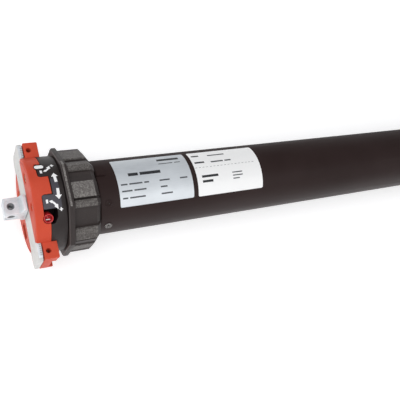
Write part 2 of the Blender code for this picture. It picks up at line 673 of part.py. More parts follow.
def carriers():
    for stage, (x0, width) in enumerate(zip(STAGE_X, PLANET_WIDTHS), 1):
        back = x0 + width + 0.6
        last = stage == len(STAGE_X)
        thickness = CARRIER_THICKNESS + (2.0 if last else 0.0)
        name = "output_carrier" if last else f"carrier_{stage}"
        carrier = add_object(name, rod((back, back + thickness), 14.5, 24), "steel")
        for _, y, z in planet_places():
            combine(carrier, moved(rod((x0 - 0.8, back + 1), 2.0, 12), (0.0, y, z)), "UNION")
        if last:
            combine(carrier, rod((back + 1, WHEEL_X[0]), OUTPUT_RADIUS, 24), "UNION")
            combine(carrier, prism((WHEEL_X[0] - 1, WHEEL_X[1] - 4.6), square(WHEEL_SQUARE)), "UNION")
            combine(carrier, rod((WHEEL_X[1] - 16, WHEEL_X[1]), 2.4, 12))
        else:
            after = STAGE_X[stage] + PLANET_WIDTHS[stage]
            combine(carrier, prism((back + 1, after), spur(SUN_TEETH, GEAR_MODULE)), "UNION")


def gearbox_end():
    x0, x1 = GEARBOX_CAP_X
    b0, b1 = BEARING_X
    seat, narrow = 12.0, OUTPUT_RADIUS + 0.8
    cap = add_object("gearbox_cap", turned([
        (x0, narrow), (x0, PLUG_RADIUS), (x1, PLUG_RADIUS), (x1, seat), (b0 - GAP, seat), (b0 - GAP, narrow)], 32),
        "aluminium")
    for angle in REAR_RIVET_ANGLES:
        combine(cap, radial_rod(x1 - 4, angle, 1.7, 17.5, 25.0))
    add_object("output_bearing", ring((b0, b1), seat - GAP, OUTPUT_RADIUS + GAP, 24), "steel")


# ---- drive end ----

def drive_wheel():
    x0, x1 = WHEEL_X
    wheel = add_object("drive_wheel", prism(WHEEL_X, octagon(WHEEL_FLATS), octagon(WHEEL_FLATS - 2 * WHEEL_WALL)),
                       "black_plastic")
    combine(wheel, prism((x0 + 10, x0 + 13.5), octagon(WHEEL_FLATS - 2)), "UNION")
    combine(wheel, rod((x0, x1 - 2), WHEEL_HUB_RADIUS, 24), "UNION")
    for k in range(4):
        rib = box((x0 + 2, x1 - 2), (-1.2, 1.2), (WHEEL_HUB_RADIUS - 2, WHEEL_FLATS / 2 - 1))
        combine(wheel, moved(rib, about_x=math.tau * k / 4), "UNION")
    combine(wheel, prism((x0 - 1, x1 - 4), square(WHEEL_SQUARE + 2 * GAP)))
    combine(wheel, rod((x1 - 6, x1 + 1), 3.4, 16))


def wheel_fixing():
    seat = WHEEL_X[1] - 2 + GAP
    add_object("wheel_washer", ring((seat, seat + 1.4), 8.0, 3.4, 24), "zinc")
    head = seat + 1.4 + GAP
    shank = WHEEL_X[1] - 15.0
    screw = turned([(shank, 0.0), (shank, 2.1), (head, 2.1), (head, 5.4), (SCREW_END_X, 5.0), (SCREW_END_X, 0.0)],
                   SMALL_SEGMENTS)
    screw = add_object("wheel_screw", screw, "zinc")
    combine(screw, prism((SCREW_END_X - 2.2, SCREW_END_X + 1), circle(2.3, 6)))


def build():
    clear_scene()
    for make in (square_pin, mounting_plate, front_cap, cap_screws, head_body, adjusting_screws, cable_socket,
                 crown_ring, crown_stop, limit_pinion, cams, limit_frame, limit_switches,
                 motor_tube, rivets, labels, capacitor, brake, shields, stator, rotor,
                 gearbox_ring, planet_gears, carriers, gearbox_end, drive_wheel, wheel_fixing):
        make()


build()
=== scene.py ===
import json
import math

import bmesh
import bpy
from mathutils import Matrix, Vector


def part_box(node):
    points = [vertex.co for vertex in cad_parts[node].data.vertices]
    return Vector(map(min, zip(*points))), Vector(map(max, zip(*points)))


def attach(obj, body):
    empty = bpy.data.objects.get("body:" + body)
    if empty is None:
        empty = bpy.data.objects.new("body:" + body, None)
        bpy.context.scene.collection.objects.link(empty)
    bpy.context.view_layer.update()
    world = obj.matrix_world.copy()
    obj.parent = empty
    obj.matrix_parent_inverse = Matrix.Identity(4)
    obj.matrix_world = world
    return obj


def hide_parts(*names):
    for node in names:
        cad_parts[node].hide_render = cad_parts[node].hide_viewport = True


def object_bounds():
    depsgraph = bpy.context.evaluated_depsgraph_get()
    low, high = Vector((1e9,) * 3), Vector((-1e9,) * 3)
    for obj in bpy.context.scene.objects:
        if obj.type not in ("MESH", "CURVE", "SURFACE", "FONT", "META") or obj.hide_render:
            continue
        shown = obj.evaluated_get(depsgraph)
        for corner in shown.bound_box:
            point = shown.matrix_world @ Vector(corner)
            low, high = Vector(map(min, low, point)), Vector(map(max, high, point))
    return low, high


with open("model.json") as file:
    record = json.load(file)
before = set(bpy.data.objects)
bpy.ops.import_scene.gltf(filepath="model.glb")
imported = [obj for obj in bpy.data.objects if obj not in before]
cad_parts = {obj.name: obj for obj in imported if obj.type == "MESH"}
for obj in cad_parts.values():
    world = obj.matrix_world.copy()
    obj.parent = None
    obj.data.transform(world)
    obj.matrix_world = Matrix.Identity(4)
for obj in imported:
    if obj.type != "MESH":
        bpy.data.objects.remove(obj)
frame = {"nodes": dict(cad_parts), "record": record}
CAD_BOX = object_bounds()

# Looks of a roller shutter motor. Shapes are made in millimetres about the tube's axis, +X from the
# head to the drive end. Angles round the tube are in degrees from +Z towards -Y.

MM = 0.001
DEGREE = math.radians(1.0)
CUT, ADD = "DIFFERENCE", "UNION"
WHITE = (1.0, 1.0, 1.0)
EVEN = (1.0, 1.0, 1.0)
SLOTS = {row["node"]: row["material_slot"] for row in frame["record"]["subparts"]}
scene = bpy.context.scene


def span(node, axis):
    """Lowest and highest value of a CAD node along an axis, in millimetres."""
    low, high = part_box(node)
    return low[axis] / MM, high[axis] / MM


TUBE_X = span("motor_tube", 0)
TUBE_RADIUS = span("motor_tube", 2)[1]
HEAD_RADIUS = span("head_body", 2)[1]
CROWN_X = span("crown_ring", 0)
CROWN_FLATS = 2 * span("crown_ring", 2)[1]
FACE_X = span("front_cap", 0)[0]
PLATE_X = span("mounting_plate", 0)
PLATE_HALF_LENGTH = span("mounting_plate", 1)[1]
WHEEL_X = span("drive_wheel", 0)
WHEEL_FLATS = 2 * span("drive_wheel", 2)[1]
FLOOR_Z = CAD_BOX[0].z

PIN_SIDE = 10.3
PIN_HOLE_X = 3.9
STRIP_HALF_WIDTH = 9.0
TAB_HALF_WIDTH = 11.6
TAB_START = 24.6
CAP_FLOOR_X = 17.6
CAP_INNER_RADIUS = 24.8
CAP_SKIRT_X = 20.7
TONGUE_X = 23.0
TONGUE_ANGLES = (-15.0, 6.3)
SLOT_ANGLES = (-37.0, 38.5)
LUG_X = (15.6, 23.9)
LUG_Y = (25.2, 34.9)
LUG_HALF_WIDTH = 11.8
LUG_HOLE = (18.4, 30.2)
PAST_LUG_Y = 41.0
CAP_SCREWS = ((12.0, 14.6), (12.0, -14.6))
FACE_RECESSES = ((-6.3, 18.3), (6.3, -18.3))
SOCKET_Y = (-14.0, -5.0)
SOCKET_Z = (-21.3, -14.7)
ADJUSTERS = {"up": -30.5, "down": 34.0}
ADJUSTER_X = 19.6
ADJUSTER_FOOT = 22.4
ADJUSTER_TOP = 27.55
RIM_END_X = 30.0
NECK_RADIUS = 21.6
LABEL_ANGLES = (-45.0, 37.5)
LABEL_RADIUS = TUBE_RADIUS + 0.04
LABEL_THICKNESS = 0.12
PRINT = (LABEL_RADIUS + LABEL_THICKNESS + 0.004, 0.03)     # radius and thickness of the print
SIGN = (HEAD_RADIUS + 0.01, 0.06)                          # the same for the head's signs


# ---- looks ----

def is_socket(value):
    return isinstance(value, bpy.types.NodeSocket)


class Look:
    """A node material with a Principled shader. Most calls add nodes and give back a socket."""

    def __init__(self, name, **values):
        self.material = bpy.data.materials.new(name)
        self.material.use_nodes = True
        self.tree = self.material.node_tree
        self.shader = self.tree.nodes["Principled BSDF"]
        for key, value in values.items():
            self.shader.inputs[key.replace("_", " ")].default_value = value

    def feed(self, **sockets):
        """Link sockets to the shader's inputs."""
        for key, socket in sockets.items():
            self.tree.links.new(socket, self.shader.inputs[key.replace("_", " ")])
        return self

    def node(self, kind, inputs, **settings):
        """New node. Each input is given a number, a colour or a socket to link to."""
        made = self.tree.nodes.new("ShaderNode" + kind)
        for key, value in settings.items():
            setattr(made, key, value)
        for key, value in inputs.items():
            if is_socket(value):
                self.tree.links.new(value, made.inputs[key])
            else:
                made.inputs[key].default_value = value
        return made

    def place(self, stretch=EVEN):
        coords = self.node("TexCoord", {})
        return self.node("Mapping", {"Vector": coords.outputs["Object"], "Scale": stretch}).outputs["Vector"]

    def noise(self, scale, detail=3.0, roughness=0.55, stretch=EVEN):
        inputs = {"Scale": scale, "Detail": detail, "Roughness": roughness, "Vector": self.place(stretch)}
        return self.node("TexNoise", inputs).outputs["Fac"]

    def ramp(self, fac, *stops):
        """Colour or grey ramp; each stop is (position, colour or number)."""
        made = self.node("ValToRGB", {"Fac": fac})
        points = made.color_ramp.elements
        for point, (position, value) in zip(points, stops):
            point.position = position
            point.color = (*(value if isinstance(value, tuple) else (value,) * 3), 1.0)
        return made.outputs["Color"]

    def clouded(self, scale, low, high, detail=3.0):
        """Soft patches between two numbers or colours."""
        return self.ramp(self.noise(scale, detail), (0.3, low), (0.7, high))

    def math(self, operation, first, second):
        return self.node("Math", {0: first, 1: second}, operation=operation).outputs["Value"]

    def blend(self, fac, first, second):
        first, second = (value if is_socket(value) else (*value, 1.0) for value in (first, second))
        return self.node("Mix", {0: fac, 6: first, 7: second}, data_type="RGBA").outputs[2]

    def across(self, scale, middle):
        """Sweep round the tube, from the object's own Y. It carries the painted shade on one side of the
        tube's lacquer and the labels.
        """
        y = self.node("SeparateXYZ", {"Vector": self.place()}).outputs["Y"]
        return self.math("ADD", self.math("MULTIPLY", y, scale), middle)

    def bump(self, height, distance, strength):
        normal = self.shader.inputs["Normal"]
        inputs = {"Strength": strength, "Distance": distance * MM, "Height": height}
        if normal.is_linked:
            inputs["Normal"] = normal.links[0].from_socket
        return self.feed(Normal=self.node("Bump", inputs).outputs["Normal"])


def mixed(dark, light, t):
    return tuple(a + (b - a) * t for a, b in zip(dark, light))


def plastic(name, dark, light, roughness=(0.4, 0.52), grain=0.012, **values):
    """Moulded plastic: slow colour drift, fine spark-eroded grain and faint rubbed patches."""
    look = Look(name, **values)
    speck = look.noise(2600.0, 2.0)
    base = look.ramp(look.noise(45.0, 4.0), (0.3, dark), (0.72, light))
    rubbed = look.ramp(speck, (0.62, 0.0), (0.8, 0.22))
    look.feed(Base_Color=look.blend(rubbed, base, mixed(light, WHITE, 0.16)),
              Roughness=look.clouded(160.0, *roughness))
    return look.bump(speck, grain, 0.5).bump(look.noise(30.0, 2.0), 0.05, 0.25).material


def textured(name, dark, light, scale=1100.0, depth=0.06):
    """Rough grip pads: sandy texture whose high grains are worn lighter."""
    look = Look(name)
    grains = look.node("TexVoronoi", {"Scale": scale, "Vector": look.place()}).outputs["Distance"]
    sand = look.noise(scale * 0.9, 3.0, 0.7)
    patches = look.ramp(look.noise(150.0), (0.3, 0.45), (0.65, 1.0))
    worn = look.math("MULTIPLY", look.ramp(sand, (0.42, 0.0), (0.66, 1.0)), patches)
    look.feed(Base_Color=look.blend(worn, dark, light), Roughness=look.ramp(sand, (0.3, 0.5), (0.7, 0.68)))
    return look.bump(sand, depth, 0.8).bump(grains, depth, 0.4).material


def metal(name, dark, light, roughness, metallic=1.0, stretch=EVEN, scale=900.0, depth=0.006):
    """Bare or plated metal: machining or casting marks, with clouded roughness."""
    look = Look(name, Metallic=metallic)
    marks = look.noise(scale, 4.0, 0.6, stretch)
    clouds = look.noise(70.0, 4.0, 0.6)
    base = look.ramp(clouds, (0.3, dark), (0.7, light))
    look.feed(Base_Color=look.blend(look.ramp(marks, (0.35, 0.0), (0.75, 0.35)), base, light),
              Roughness=look.ramp(clouds, (0.25, roughness[0]), (0.75, roughness[1])))
    return look.bump(marks, depth, 0.6).material


def lacquer(name):
    """Black lacquer on steel: brown-black, orange peel, a few dust nibs and rubbed streaks along the tube."""
    look = Look(name)
    streaks = look.noise(180.0, 4.0, 0.6, (0.06, 1.0, 1.0))
    base = look.clouded(22.0, (0.026, 0.0155, 0.0145), (0.033, 0.0205, 0.0195))
    rubbed = look.ramp(streaks, (0.58, 0.0), (0.78, 0.30))
    # the specular level falls round the tube towards +Y: painted shade that dims the reflection on that side
    look.feed(Base_Color=look.blend(rubbed, base, (0.046, 0.035, 0.031)),
              Roughness=look.ramp(streaks, (0.3, 0.40), (0.7, 0.52)),
              Specular_IOR_Level=look.ramp(look.across(15.0, 0.5), (0.2, 0.15), (0.8, 0.015)))
    return look.bump(look.noise(420.0, 2.0), 0.02, 0.35).bump(look.noise(2400.0, 2.0), 0.003, 0.4).material


def foil(name, top, bottom, metallic, roughness):
    """Label film: a soft sweep of tone round the tube, a painted shade darker towards +Y and lighter towards
    -Y, fine brushed lines and slight waviness.
    """
    look = Look(name, Metallic=metallic, Coat_Weight=0.3, Coat_Roughness=0.12)
    cloud = look.math("MULTIPLY", look.math("SUBTRACT", look.noise(60.0), 0.5), 0.5)
    base = look.ramp(look.math("ADD", look.across(20.0, 0.45), cloud), (0.15, bottom), (0.9, top))
    lines = look.noise(2600.0, 2.0, 0.5, (0.05, 1.0, 1.0))
    brushed = look.ramp(lines, (0.4, 0.0), (0.9, 0.25))
    look.feed(Base_Color=look.blend(brushed, base, mixed(bottom, WHITE, 0.4)),
              Roughness=look.ramp(lines, (0.3, roughness), (0.7, roughness + 0.12)))
    return look.bump(look.noise(90.0, 2.0), 0.02, 0.3).material


def ink(name, dark, light):
    look = Look(name)
    look.feed(Base_Color=look.ramp(look.noise(1400.0, 2.0), (0.35, dark), (0.65, light)),
              Roughness=look.clouded(500.0, 0.44, 0.56, 2.0))
    return look.material


def banded(name, scale, distortion, stops, roughness, bump, **values):
    """Fine bands along the axis: wire laid side by side, or thin sheets in a stack."""
    look = Look(name, **values)
    inputs = {"Scale": scale, "Distortion": distortion, "Vector": look.place()}
    bands = look.node("TexWave", inputs, wave_type="BANDS", bands_direction="X").outputs["Fac"]
    look.feed(Base_Color=look.ramp(bands, *stops), Roughness=look.clouded(*roughness))
    return look.bump(bands, *bump).material


LOOKS = {
    "zinc": metal("zinc_plate", (0.56, 0.60, 0.63), (0.86, 0.90, 0.93), (0.30, 0.46), 0.2,
                  scale=500.0, depth=0.05),
    "plate": metal("plate_zinc", (0.47, 0.48, 0.46), (0.68, 0.68, 0.66), (0.36, 0.50), 0.25,
                   scale=350.0, depth=0.05),
    # darker zinc for the insides of the pin's cross holes: painted shade
    "shade": metal("zinc_painted_shade", (0.15, 0.165, 0.18), (0.28, 0.30, 0.31), (0.40, 0.55), 0.2,
                   scale=500.0, depth=0.03),
    "chromate": metal("yellow_chromate", (0.20, 0.16, 0.085), (0.52, 0.46, 0.30), (0.28, 0.44), scale=800.0),
    "steel": metal("machined_steel", (0.42, 0.42, 0.43), (0.62, 0.62, 0.63), (0.22, 0.38),
                   stretch=(8.0, 1.0, 1.0)),
    "aluminium": metal("cast_aluminium", (0.55, 0.56, 0.57), (0.72, 0.73, 0.74), (0.34, 0.52),
                       scale=350.0, depth=0.05),
    "red": plastic("red_moulding", (0.58, 0.068, 0.034), (0.68, 0.092, 0.048), (0.40, 0.52),
                   Specular_IOR_Level=0.1),
    "black": plastic("black_moulding", (0.019, 0.0135, 0.0125), (0.030, 0.0225, 0.0215), (0.44, 0.56),
                     Specular_IOR_Level=0.35),
    "crown": plastic("crown_moulding", (0.024, 0.0170, 0.0155), (0.037, 0.0275, 0.0255), (0.46, 0.60), 0.02,
                     Specular_IOR_Level=0.4),
    # crown looks: the lighter pad look is a painted highlight on one crown pad and on a band behind the
    # flange's front edge, and the plain grip pad of the drive wheel. The edge look is a lighter copy of the
    # crown plastic: painted light on the flange's front face, which lies in shade.
    "pads": textured("crown_pads", (0.105, 0.094, 0.088), (0.32, 0.302, 0.282)),
    "dark_pads": textured("crown_dark_pads", (0.062, 0.053, 0.049), (0.20, 0.186, 0.172)),
    "edge": plastic("crown_front_painted_light", (0.060, 0.050, 0.047), (0.085, 0.074, 0.069), (0.46, 0.60), 0.02),
    "slate": plastic("slate_moulding", (0.046, 0.043, 0.056), (0.074, 0.068, 0.084), (0.34, 0.44)),
    # near-black look for the head's adjuster well: painted shade
    "pit": plastic("well_painted_shade", (0.0100, 0.0050, 0.0062), (0.0150, 0.0080, 0.0095), (0.60, 0.72),
                   Specular_IOR_Level=0.1),
    "cup": plastic("crimson_moulding", (0.50, 0.016, 0.020), (0.62, 0.030, 0.034), (0.22, 0.34)),
    # lighter speckled paint for the rivets low on the tube
    "worn": textured("speckled_rivet_paint", (0.030, 0.024, 0.022), (0.50, 0.48, 0.46), 1900.0, 0.02),
    "white": plastic("white_moulding", (0.80, 0.80, 0.78), (0.88, 0.88, 0.87), (0.36, 0.48)),
    "grey": plastic("grey_moulding", (0.34, 0.35, 0.37), (0.44, 0.45, 0.47)),
    "lacquer": lacquer("black_lacquer"),
    # label foils: the first colour is the darker, shaded +Y edge and the second the lighter -Y edge of a
    # painted sweep of light
    "silver_foil": foil("silver_foil", (0.45, 0.48, 0.51), (0.77, 0.81, 0.84), 0.15, 0.34),
    "white_foil": foil("white_foil", (0.94, 0.94, 0.93), (0.98, 0.98, 0.97), 0.0, 0.36),
    "print": ink("print_dark", (0.012, 0.013, 0.015), (0.030, 0.032, 0.036)),
    "print_fine": ink("print_fine", (0.055, 0.060, 0.066), (0.10, 0.107, 0.115)),
    "sign": ink("sign_white", (0.93, 0.93, 0.93), (0.98, 0.98, 0.98)),
    "copper": banded("enamelled_copper", 260.0, 2.5, ((0.1, (0.34, 0.11, 0.035)), (0.6, (0.72, 0.30, 0.12))),
                     (300.0, 0.28, 0.42), (0.12, 0.7), Metallic=0.85, Coat_Weight=0.6, Coat_Roughness=0.15),
    "lamination": banded("laminations", 320.0, 0.0, ((0.0, (0.10, 0.10, 0.11)), (0.5, (0.36, 0.37, 0.39))),
                         (220.0, 0.36, 0.54), (0.05, 0.6), Metallic=0.9),
}

# looks of the slots that aren't named like their look
SLOT_LOOKS = {"red_plastic": "red", "black_plastic": "black", "crown_plastic": "crown",
              "white_plastic": "white", "grey_plastic": "grey", "black_paint": "lacquer"}


# ---- mesh helpers, in millimetres ----

def polar(x, angle, radius):
    a = math.radians(angle)
    return Vector((x, -radius * math.sin(a), radius * math.cos(a)))


def filleted(points, steps=4):
    """Closed 2-D outline with rounded corners: each point is (a, b) or (a, b, radius)."""
    out = []
    count = len(points)
    for k, point in enumerate(points):
        here = Vector(point[:2])
        if len(point) < 3 or point[2] <= 0:
            out.append(tuple(here))
            continue
        before = (Vector(points[k - 1][:2]) - here).normalized()
        after = (Vector(points[(k + 1) % count][:2]) - here).normalized()
        half = math.acos(max(-1.0, min(1.0, before.dot(after)))) / 2
        reach = point[2] / math.tan(half)
        centre = here + (before + after).normalized() * point[2] / math.sin(half)
        start, end = here + before * reach - centre, here + after * reach - centre
        for s in range(steps + 1):
            t = s / steps
            arm = (start * (1 - t) + end * t).normalized() * point[2]
            out.append(tuple(centre + arm))
    return out


def rounded(width, height, radius):
    w, h = width / 2, height / 2
    return filleted([(-w, -h, radius), (w, -h, radius), (w, h, radius), (-w, h, radius)], 5)


def lathe(profile, segments=96, start=0.0):
    """Body turned about X from a closed outline of (x, radius) points."""
    bm = bmesh.new()
    rings = []
    for x, radius in profile:
        if radius < 1e-6:
            rings.append([bm.verts.new((x, 0.0, 0.0))])
            continue
        turns = [start + math.tau * k / segments for k in range(segments)]
        rings.append([bm.verts.new((x, radius * math.cos(a), radius * math.sin(a))) for a in turns])
    for first, second in zip(rings, rings[1:] + rings[:1]):
        for k in range(segments):
            corners = [first[k % len(first)], first[(k + 1) % len(first)],
                       second[(k + 1) % len(second)], second[k % len(second)]]
            unique = list(dict.fromkeys(corners))
            if len(unique) > 2:
                bm.faces.new(unique)
    return bm


def turned(points, segments, steps=5):
    return lathe(filleted(points, steps), segments)


def rod(x_range, radius, segments=32, start=0.07):
    x0, x1 = x_range
    return lathe([(x0, 0.0), (x0, radius), (x1, radius), (x1, 0.0)], segments, start)


def block(x_range, y_range, z_range, radius=0.0, segments=3):
    """Box with rounded edges."""
    bm = bmesh.new()
    bmesh.ops.create_cube(bm, size=1.0)
    low, high = zip(x_range, y_range, z_range)
    for vert in bm.verts:
        vert.co = [a + (b - a) * (c + 0.5) for a, b, c in zip(low, high, vert.co)]
    if radius > 0:
        bmesh.ops.bevel(bm, geom=bm.edges[:], offset=radius, segments=segments, profile=0.5, affect="EDGES")
    return bm


def loft(sections):
    """Closed body through (x, outline) sections with equal point counts."""
    bm = bmesh.new()
    rings = [[bm.verts.new((x, y, z)) for y, z in outline] for x, outline in sections]
    for first, second in zip(rings, rings[1:]):
        for k in range(len(first)):
            after = (k + 1) % len(first)
            bm.faces.new((first[k], first[after], second[after], second[k]))
    bm.faces.new(rings[0])
    bm.faces.new(rings[-1])
    return bm


def prism(x_range, outline, radius=0.0, segments=2):
    """Solid between x values with a (y, z) outline, its end edges rounded."""
    bm = loft([(x, outline) for x in x_range])
    if radius > 0:
        bm.faces.ensure_lookup_table()
        rim = {edge for face in bm.faces[-2:] for edge in face.edges}
        bmesh.ops.bevel(bm, geom=list(rim), offset=radius, segments=segments, profile=0.5, affect="EDGES")
    return bm


def sector(x_range, outer, inner, angles, steps):
    """Block of a ring between two angles."""
    first, last = angles
    spread = [first + (last - first) * k / steps for k in range(steps + 1)]
    outline = [tuple(polar(0, a, outer)[1:]) for a in spread]
    outline += [tuple(polar(0, a, inner)[1:]) for a in reversed(spread)]
    return prism(x_range, outline)


def moved(bm, offset):
    bmesh.ops.translate(bm, verts=bm.verts, vec=offset)
    return bm


def radial(bm, x, angle):
    """A body made along X, stood up to point away from the axis at the given angle."""
    a = math.radians(angle)
    for vert in bm.verts:
        u, v, w = vert.co
        vert.co = (x - w, v * math.cos(a) - u * math.sin(a), v * math.sin(a) + u * math.cos(a))
    return bm


def sided(side, near, far):
    """Range along Y on one side of the axis."""
    return sorted((side * near, side * far))


def as_mesh(bm, name="work"):
    """Mesh data from a bmesh, with its faces turned outwards."""
    bmesh.ops.recalc_face_normals(bm, faces=bm.faces)
    mesh = bpy.data.meshes.new(name)
    bm.to_mesh(mesh)
    bm.free()
    return mesh


def shown(name, mesh):
    obj = bpy.data.objects.new(name, mesh)
    scene.collection.objects.link(obj)
    return obj


def carved(bm, *steps):
    """Booleans in order; each step is (CUT or ADD, bmesh). Gives back a bmesh."""
    body = shown("work", as_mesh(bm))
    guides = []
    for operation, other in steps:
        guides.append(shown("work", as_mesh(other)))
        step = body.modifiers.new("step", "BOOLEAN")
        step.operation = operation
        step.object = guides[-1]
        step.solver = "EXACT"
    bpy.context.view_layer.update()
    mesh = bpy.data.meshes.new_from_object(body.evaluated_get(bpy.context.evaluated_depsgraph_get()))
    out = bmesh.new()
    out.from_mesh(mesh)
    for obj in [body, *guides]:
        old = obj.data
        bpy.data.objects.remove(obj)
        bpy.data.meshes.remove(old)
    bpy.data.meshes.remove(mesh)
    bmesh.ops.remove_doubles(out, verts=out.verts, dist=0.002)
    bmesh.ops.dissolve_limit(out, angle_limit=math.radians(0.4), verts=out.verts, edges=out.edges)
    return out


def cut(bm, *tools):
    return carved(bm, *[(CUT, tool) for tool in tools])


def gathered(*parts):
    """Separate closed bodies kept in one mesh."""
    out = bmesh.new()
    for part in parts:
        mesh = as_mesh(part)
        out.from_mesh(mesh)
        bpy.data.meshes.remove(mesh)
    return out


def piece(name, bm, looks, node=None, body="housing", smooth=32.0, pick=None):
    """Finished object in metres that rides on a CAD body and stands for a CAD node, which it hides.
    looks is one or more keys of LOOKS; pick() gives the number of a face's look from its centre."""
    for face in bm.faces if pick else ():
        face.material_index = int(pick(face.calc_center_median()))
    mesh = as_mesh(bm, name)
    mesh.transform(Matrix.Scale(MM, 4))
    mesh.shade_smooth()
    mesh.set_sharp_from_angle(angle=math.radians(smooth))
    for key in looks.split():
        mesh.materials.append(LOOKS[key])
    obj = shown(name, mesh)
    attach(obj, body)
    if node:
        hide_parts(node)


# ---- flat marks wrapped round a cylinder ----

def wrapped(rows, radius, thickness):
    """Closed thin body on a cylinder. Each row is a pair of (x, arc length) points, left then right."""
    bm = bmesh.new()
    low, high = [], []
    for pair in rows:
        low.append([bm.verts.new(polar(x, math.degrees(s / radius), radius)) for x, s in pair])
        high.append([bm.verts.new(polar(x, math.degrees(s / radius), radius + thickness)) for x, s in pair])
    for k in range(len(rows) - 1):
        bm.faces.new((high[k][0], high[k][1], high[k + 1][1], high[k + 1][0]))
        bm.faces.new((low[k][0], low[k + 1][0], low[k + 1][1], low[k][1]))
        bm.faces.new((low[k][0], high[k][0], high[k + 1][0], low[k + 1][0]))
        bm.faces.new((low[k][1], low[k + 1][1], high[k + 1][1], high[k][1]))
    bm.faces.new((low[0][0], low[0][1], high[0][1], high[0][0]))
    bm.faces.new((low[-1][0], high[-1][0], high[-1][1], low[-1][1]))
    return bm


def panel(x_range, s_range, radius, thickness, corner=0.0, step=0.6):
    """Rectangle with rounded corners, wrapped on the cylinder."""
    (x0, x1), (s0, s1) = x_range, s_range
    straight = s1 - s0 - 2 * corner
    count = max(1, round(straight / step))
    rows = [((x0, s), (x1, s)) for s in (s0 + corner + straight * k / count for k in range(count + 1))]
    if corner > 0:
        arc = [math.radians(a) for a in (90, 70, 50, 30, 15)]
        eased = [(corner * (1 - math.cos(a)), corner * (1 - math.sin(a))) for a in arc]
        start = [((x0 + dx, s0 + ds), (x1 - dx, s0 + ds)) for dx, ds in eased]
        end = [((x0 + dx, s1 - ds), (x1 - dx, s1 - ds)) for dx, ds in reversed(eased)]
        rows = start + rows + end
    return wrapped(rows, radius, thickness)


def ribbon(path, widths, radius, thickness):
    """Stroke along (x, arc length) points, with the width at each point."""
    rows = []
    for k, (x, s) in enumerate(path):
        before, after = path[max(0, k - 1)], path[min(len(path) - 1, k + 1)]
        along = Vector((after[0] - before[0], after[1] - before[1])).normalized()
        half = widths[k] / 2
        rows.append(((x - along.y * half, s + along.x * half), (x + along.y * half, s - along.x * half)))
    return wrapped(rows, radius, thickness)


def stroke(start, end, width, radius, thickness):
    count = max(1, round(math.dist(start, end)))
    path = [(start[0] + (end[0] - start[0]) * k / count, start[1] + (end[1] - start[1]) * k / count)
            for k in range(count + 1)]
    return ribbon(path, [width] * len(path), radius, thickness)


# ---- head ----

def square_pin():
    bar = loft([(x, rounded(side, side, r)) for x, side, r in (
        (0.0, 9.3, 0.4), (0.2, 9.8, 0.5), (0.6, 10.2, 0.5), (1.2, PIN_SIDE, 0.5), (10.6, PIN_SIDE, 0.5))])
    shoulder = loft([(x, rounded(9.9, height, 0.6)) for x, height in (
        (7.9, 9.6), (8.7, 11.6), (9.5, 14.6), (10.0, 16.6), (10.4, 17.6), (11.0, 17.9), (12.25, 17.9))])
    dish = [(3.4, 0.0), (3.4, 1.4), (4.1, 1.4), (4.7, 2.1), (4.75, 3.5), (5.2, 3.7), (7.0, 3.7), (7.0, 0.0)]
    through = [radial(rod((-4.5, 4.5), 1.4, 48, 0.03), PIN_HOLE_X, angle) for angle in (0, 90)]
    dishes = [radial(lathe(dish, 48), PIN_HOLE_X, angle) for angle in (0, 90, 180, 270)]

    # faces inside the cross holes and the cones of their dishes take the darker zinc, a painted shade
    def in_hole(centre):
        off, y, z = centre.x - PIN_HOLE_X, abs(centre.y), abs(centre.z)
        return (math.hypot(off, y) < 2.1 and z < 4.65) or (math.hypot(off, z) < 2.1 and y < 4.65)

    body = cut(carved(bar, (ADD, shoulder)), *through, *dishes)
    piece("pin", body, "zinc shade", "square_pin", smooth=14.0, pick=in_hole)


def mounting_plate():
    h, w, s = PLATE_HALF_LENGTH, TAB_HALF_WIDTH, STRIP_HALF_WIDTH
    corner = 3.2
    outline = [(h, -w, corner), (h, w, corner), (TAB_START, w, 0.5), (TAB_START, s, 0.6),
               (-TAB_START, s, 0.6), (-TAB_START, w, 0.5), (-h, w, corner), (-h, -w, corner),
               (-TAB_START, -w, 0.5), (-TAB_START, -s, 0.6), (TAB_START, -s, 0.6), (TAB_START, -w, 0.5)]
    body = prism(PLATE_X, filleted(outline, 6), 0.4, 3)
    dent = [(FACE_X - 0.01, 0.0), (FACE_X - 0.01, 0.62), (FACE_X + 0.5, 0.5), (FACE_X + 0.5, 0.0)]
    tools = [block((FACE_X - 1, PLATE_X[1] + 1), (-4.3, 4.3), (-4.3, 4.3))]
    for y, z in ((22.4, 0.6), (20.0, -3.6), (-23.0, 0.4), (-25.4, -3.2)):
        tools.append(moved(lathe(dent, 20), (-0.005, y, z)))
    # knurled edges of the two tabs
    for side in (-1, 1):
        for k in range(6):
            y = side * (TAB_START + 1.3 + 1.15 * k) - 0.28
            tools.append(block((PLATE_X[0] + 1.2, PLATE_X[1] + 1), (y, y + 0.56), (w - 0.9, w + 1)))
    # the tabs' edge faces at ±Z take the brighter zinc: a painted highlight
    piece("plate", cut(body, *tools), "plate zinc", "mounting_plate", smooth=14.0,
          pick=lambda centre: abs(centre.z) > w - 0.25)


def slot_cutter(angles, left, corner_at_end):
    """Opening in the cap's rim between two angles, its inner corner rounded beside the tongue."""
    radius = CAP_INNER_RADIUS - 1
    first, last = (math.radians(a) * radius for a in angles)
    rows = []
    corner = 1.3
    for k in range(25):
        s = first + (last - first) * k / 24
        off = (last - s) if corner_at_end else (s - first)
        ease = corner - math.sqrt(max(0.0, corner ** 2 - (corner - off) ** 2)) if off < corner else 0.0
        rows.append(((left + ease, s), (TONGUE_X + 2, s)))
    return wrapped(rows, radius, 8.0)


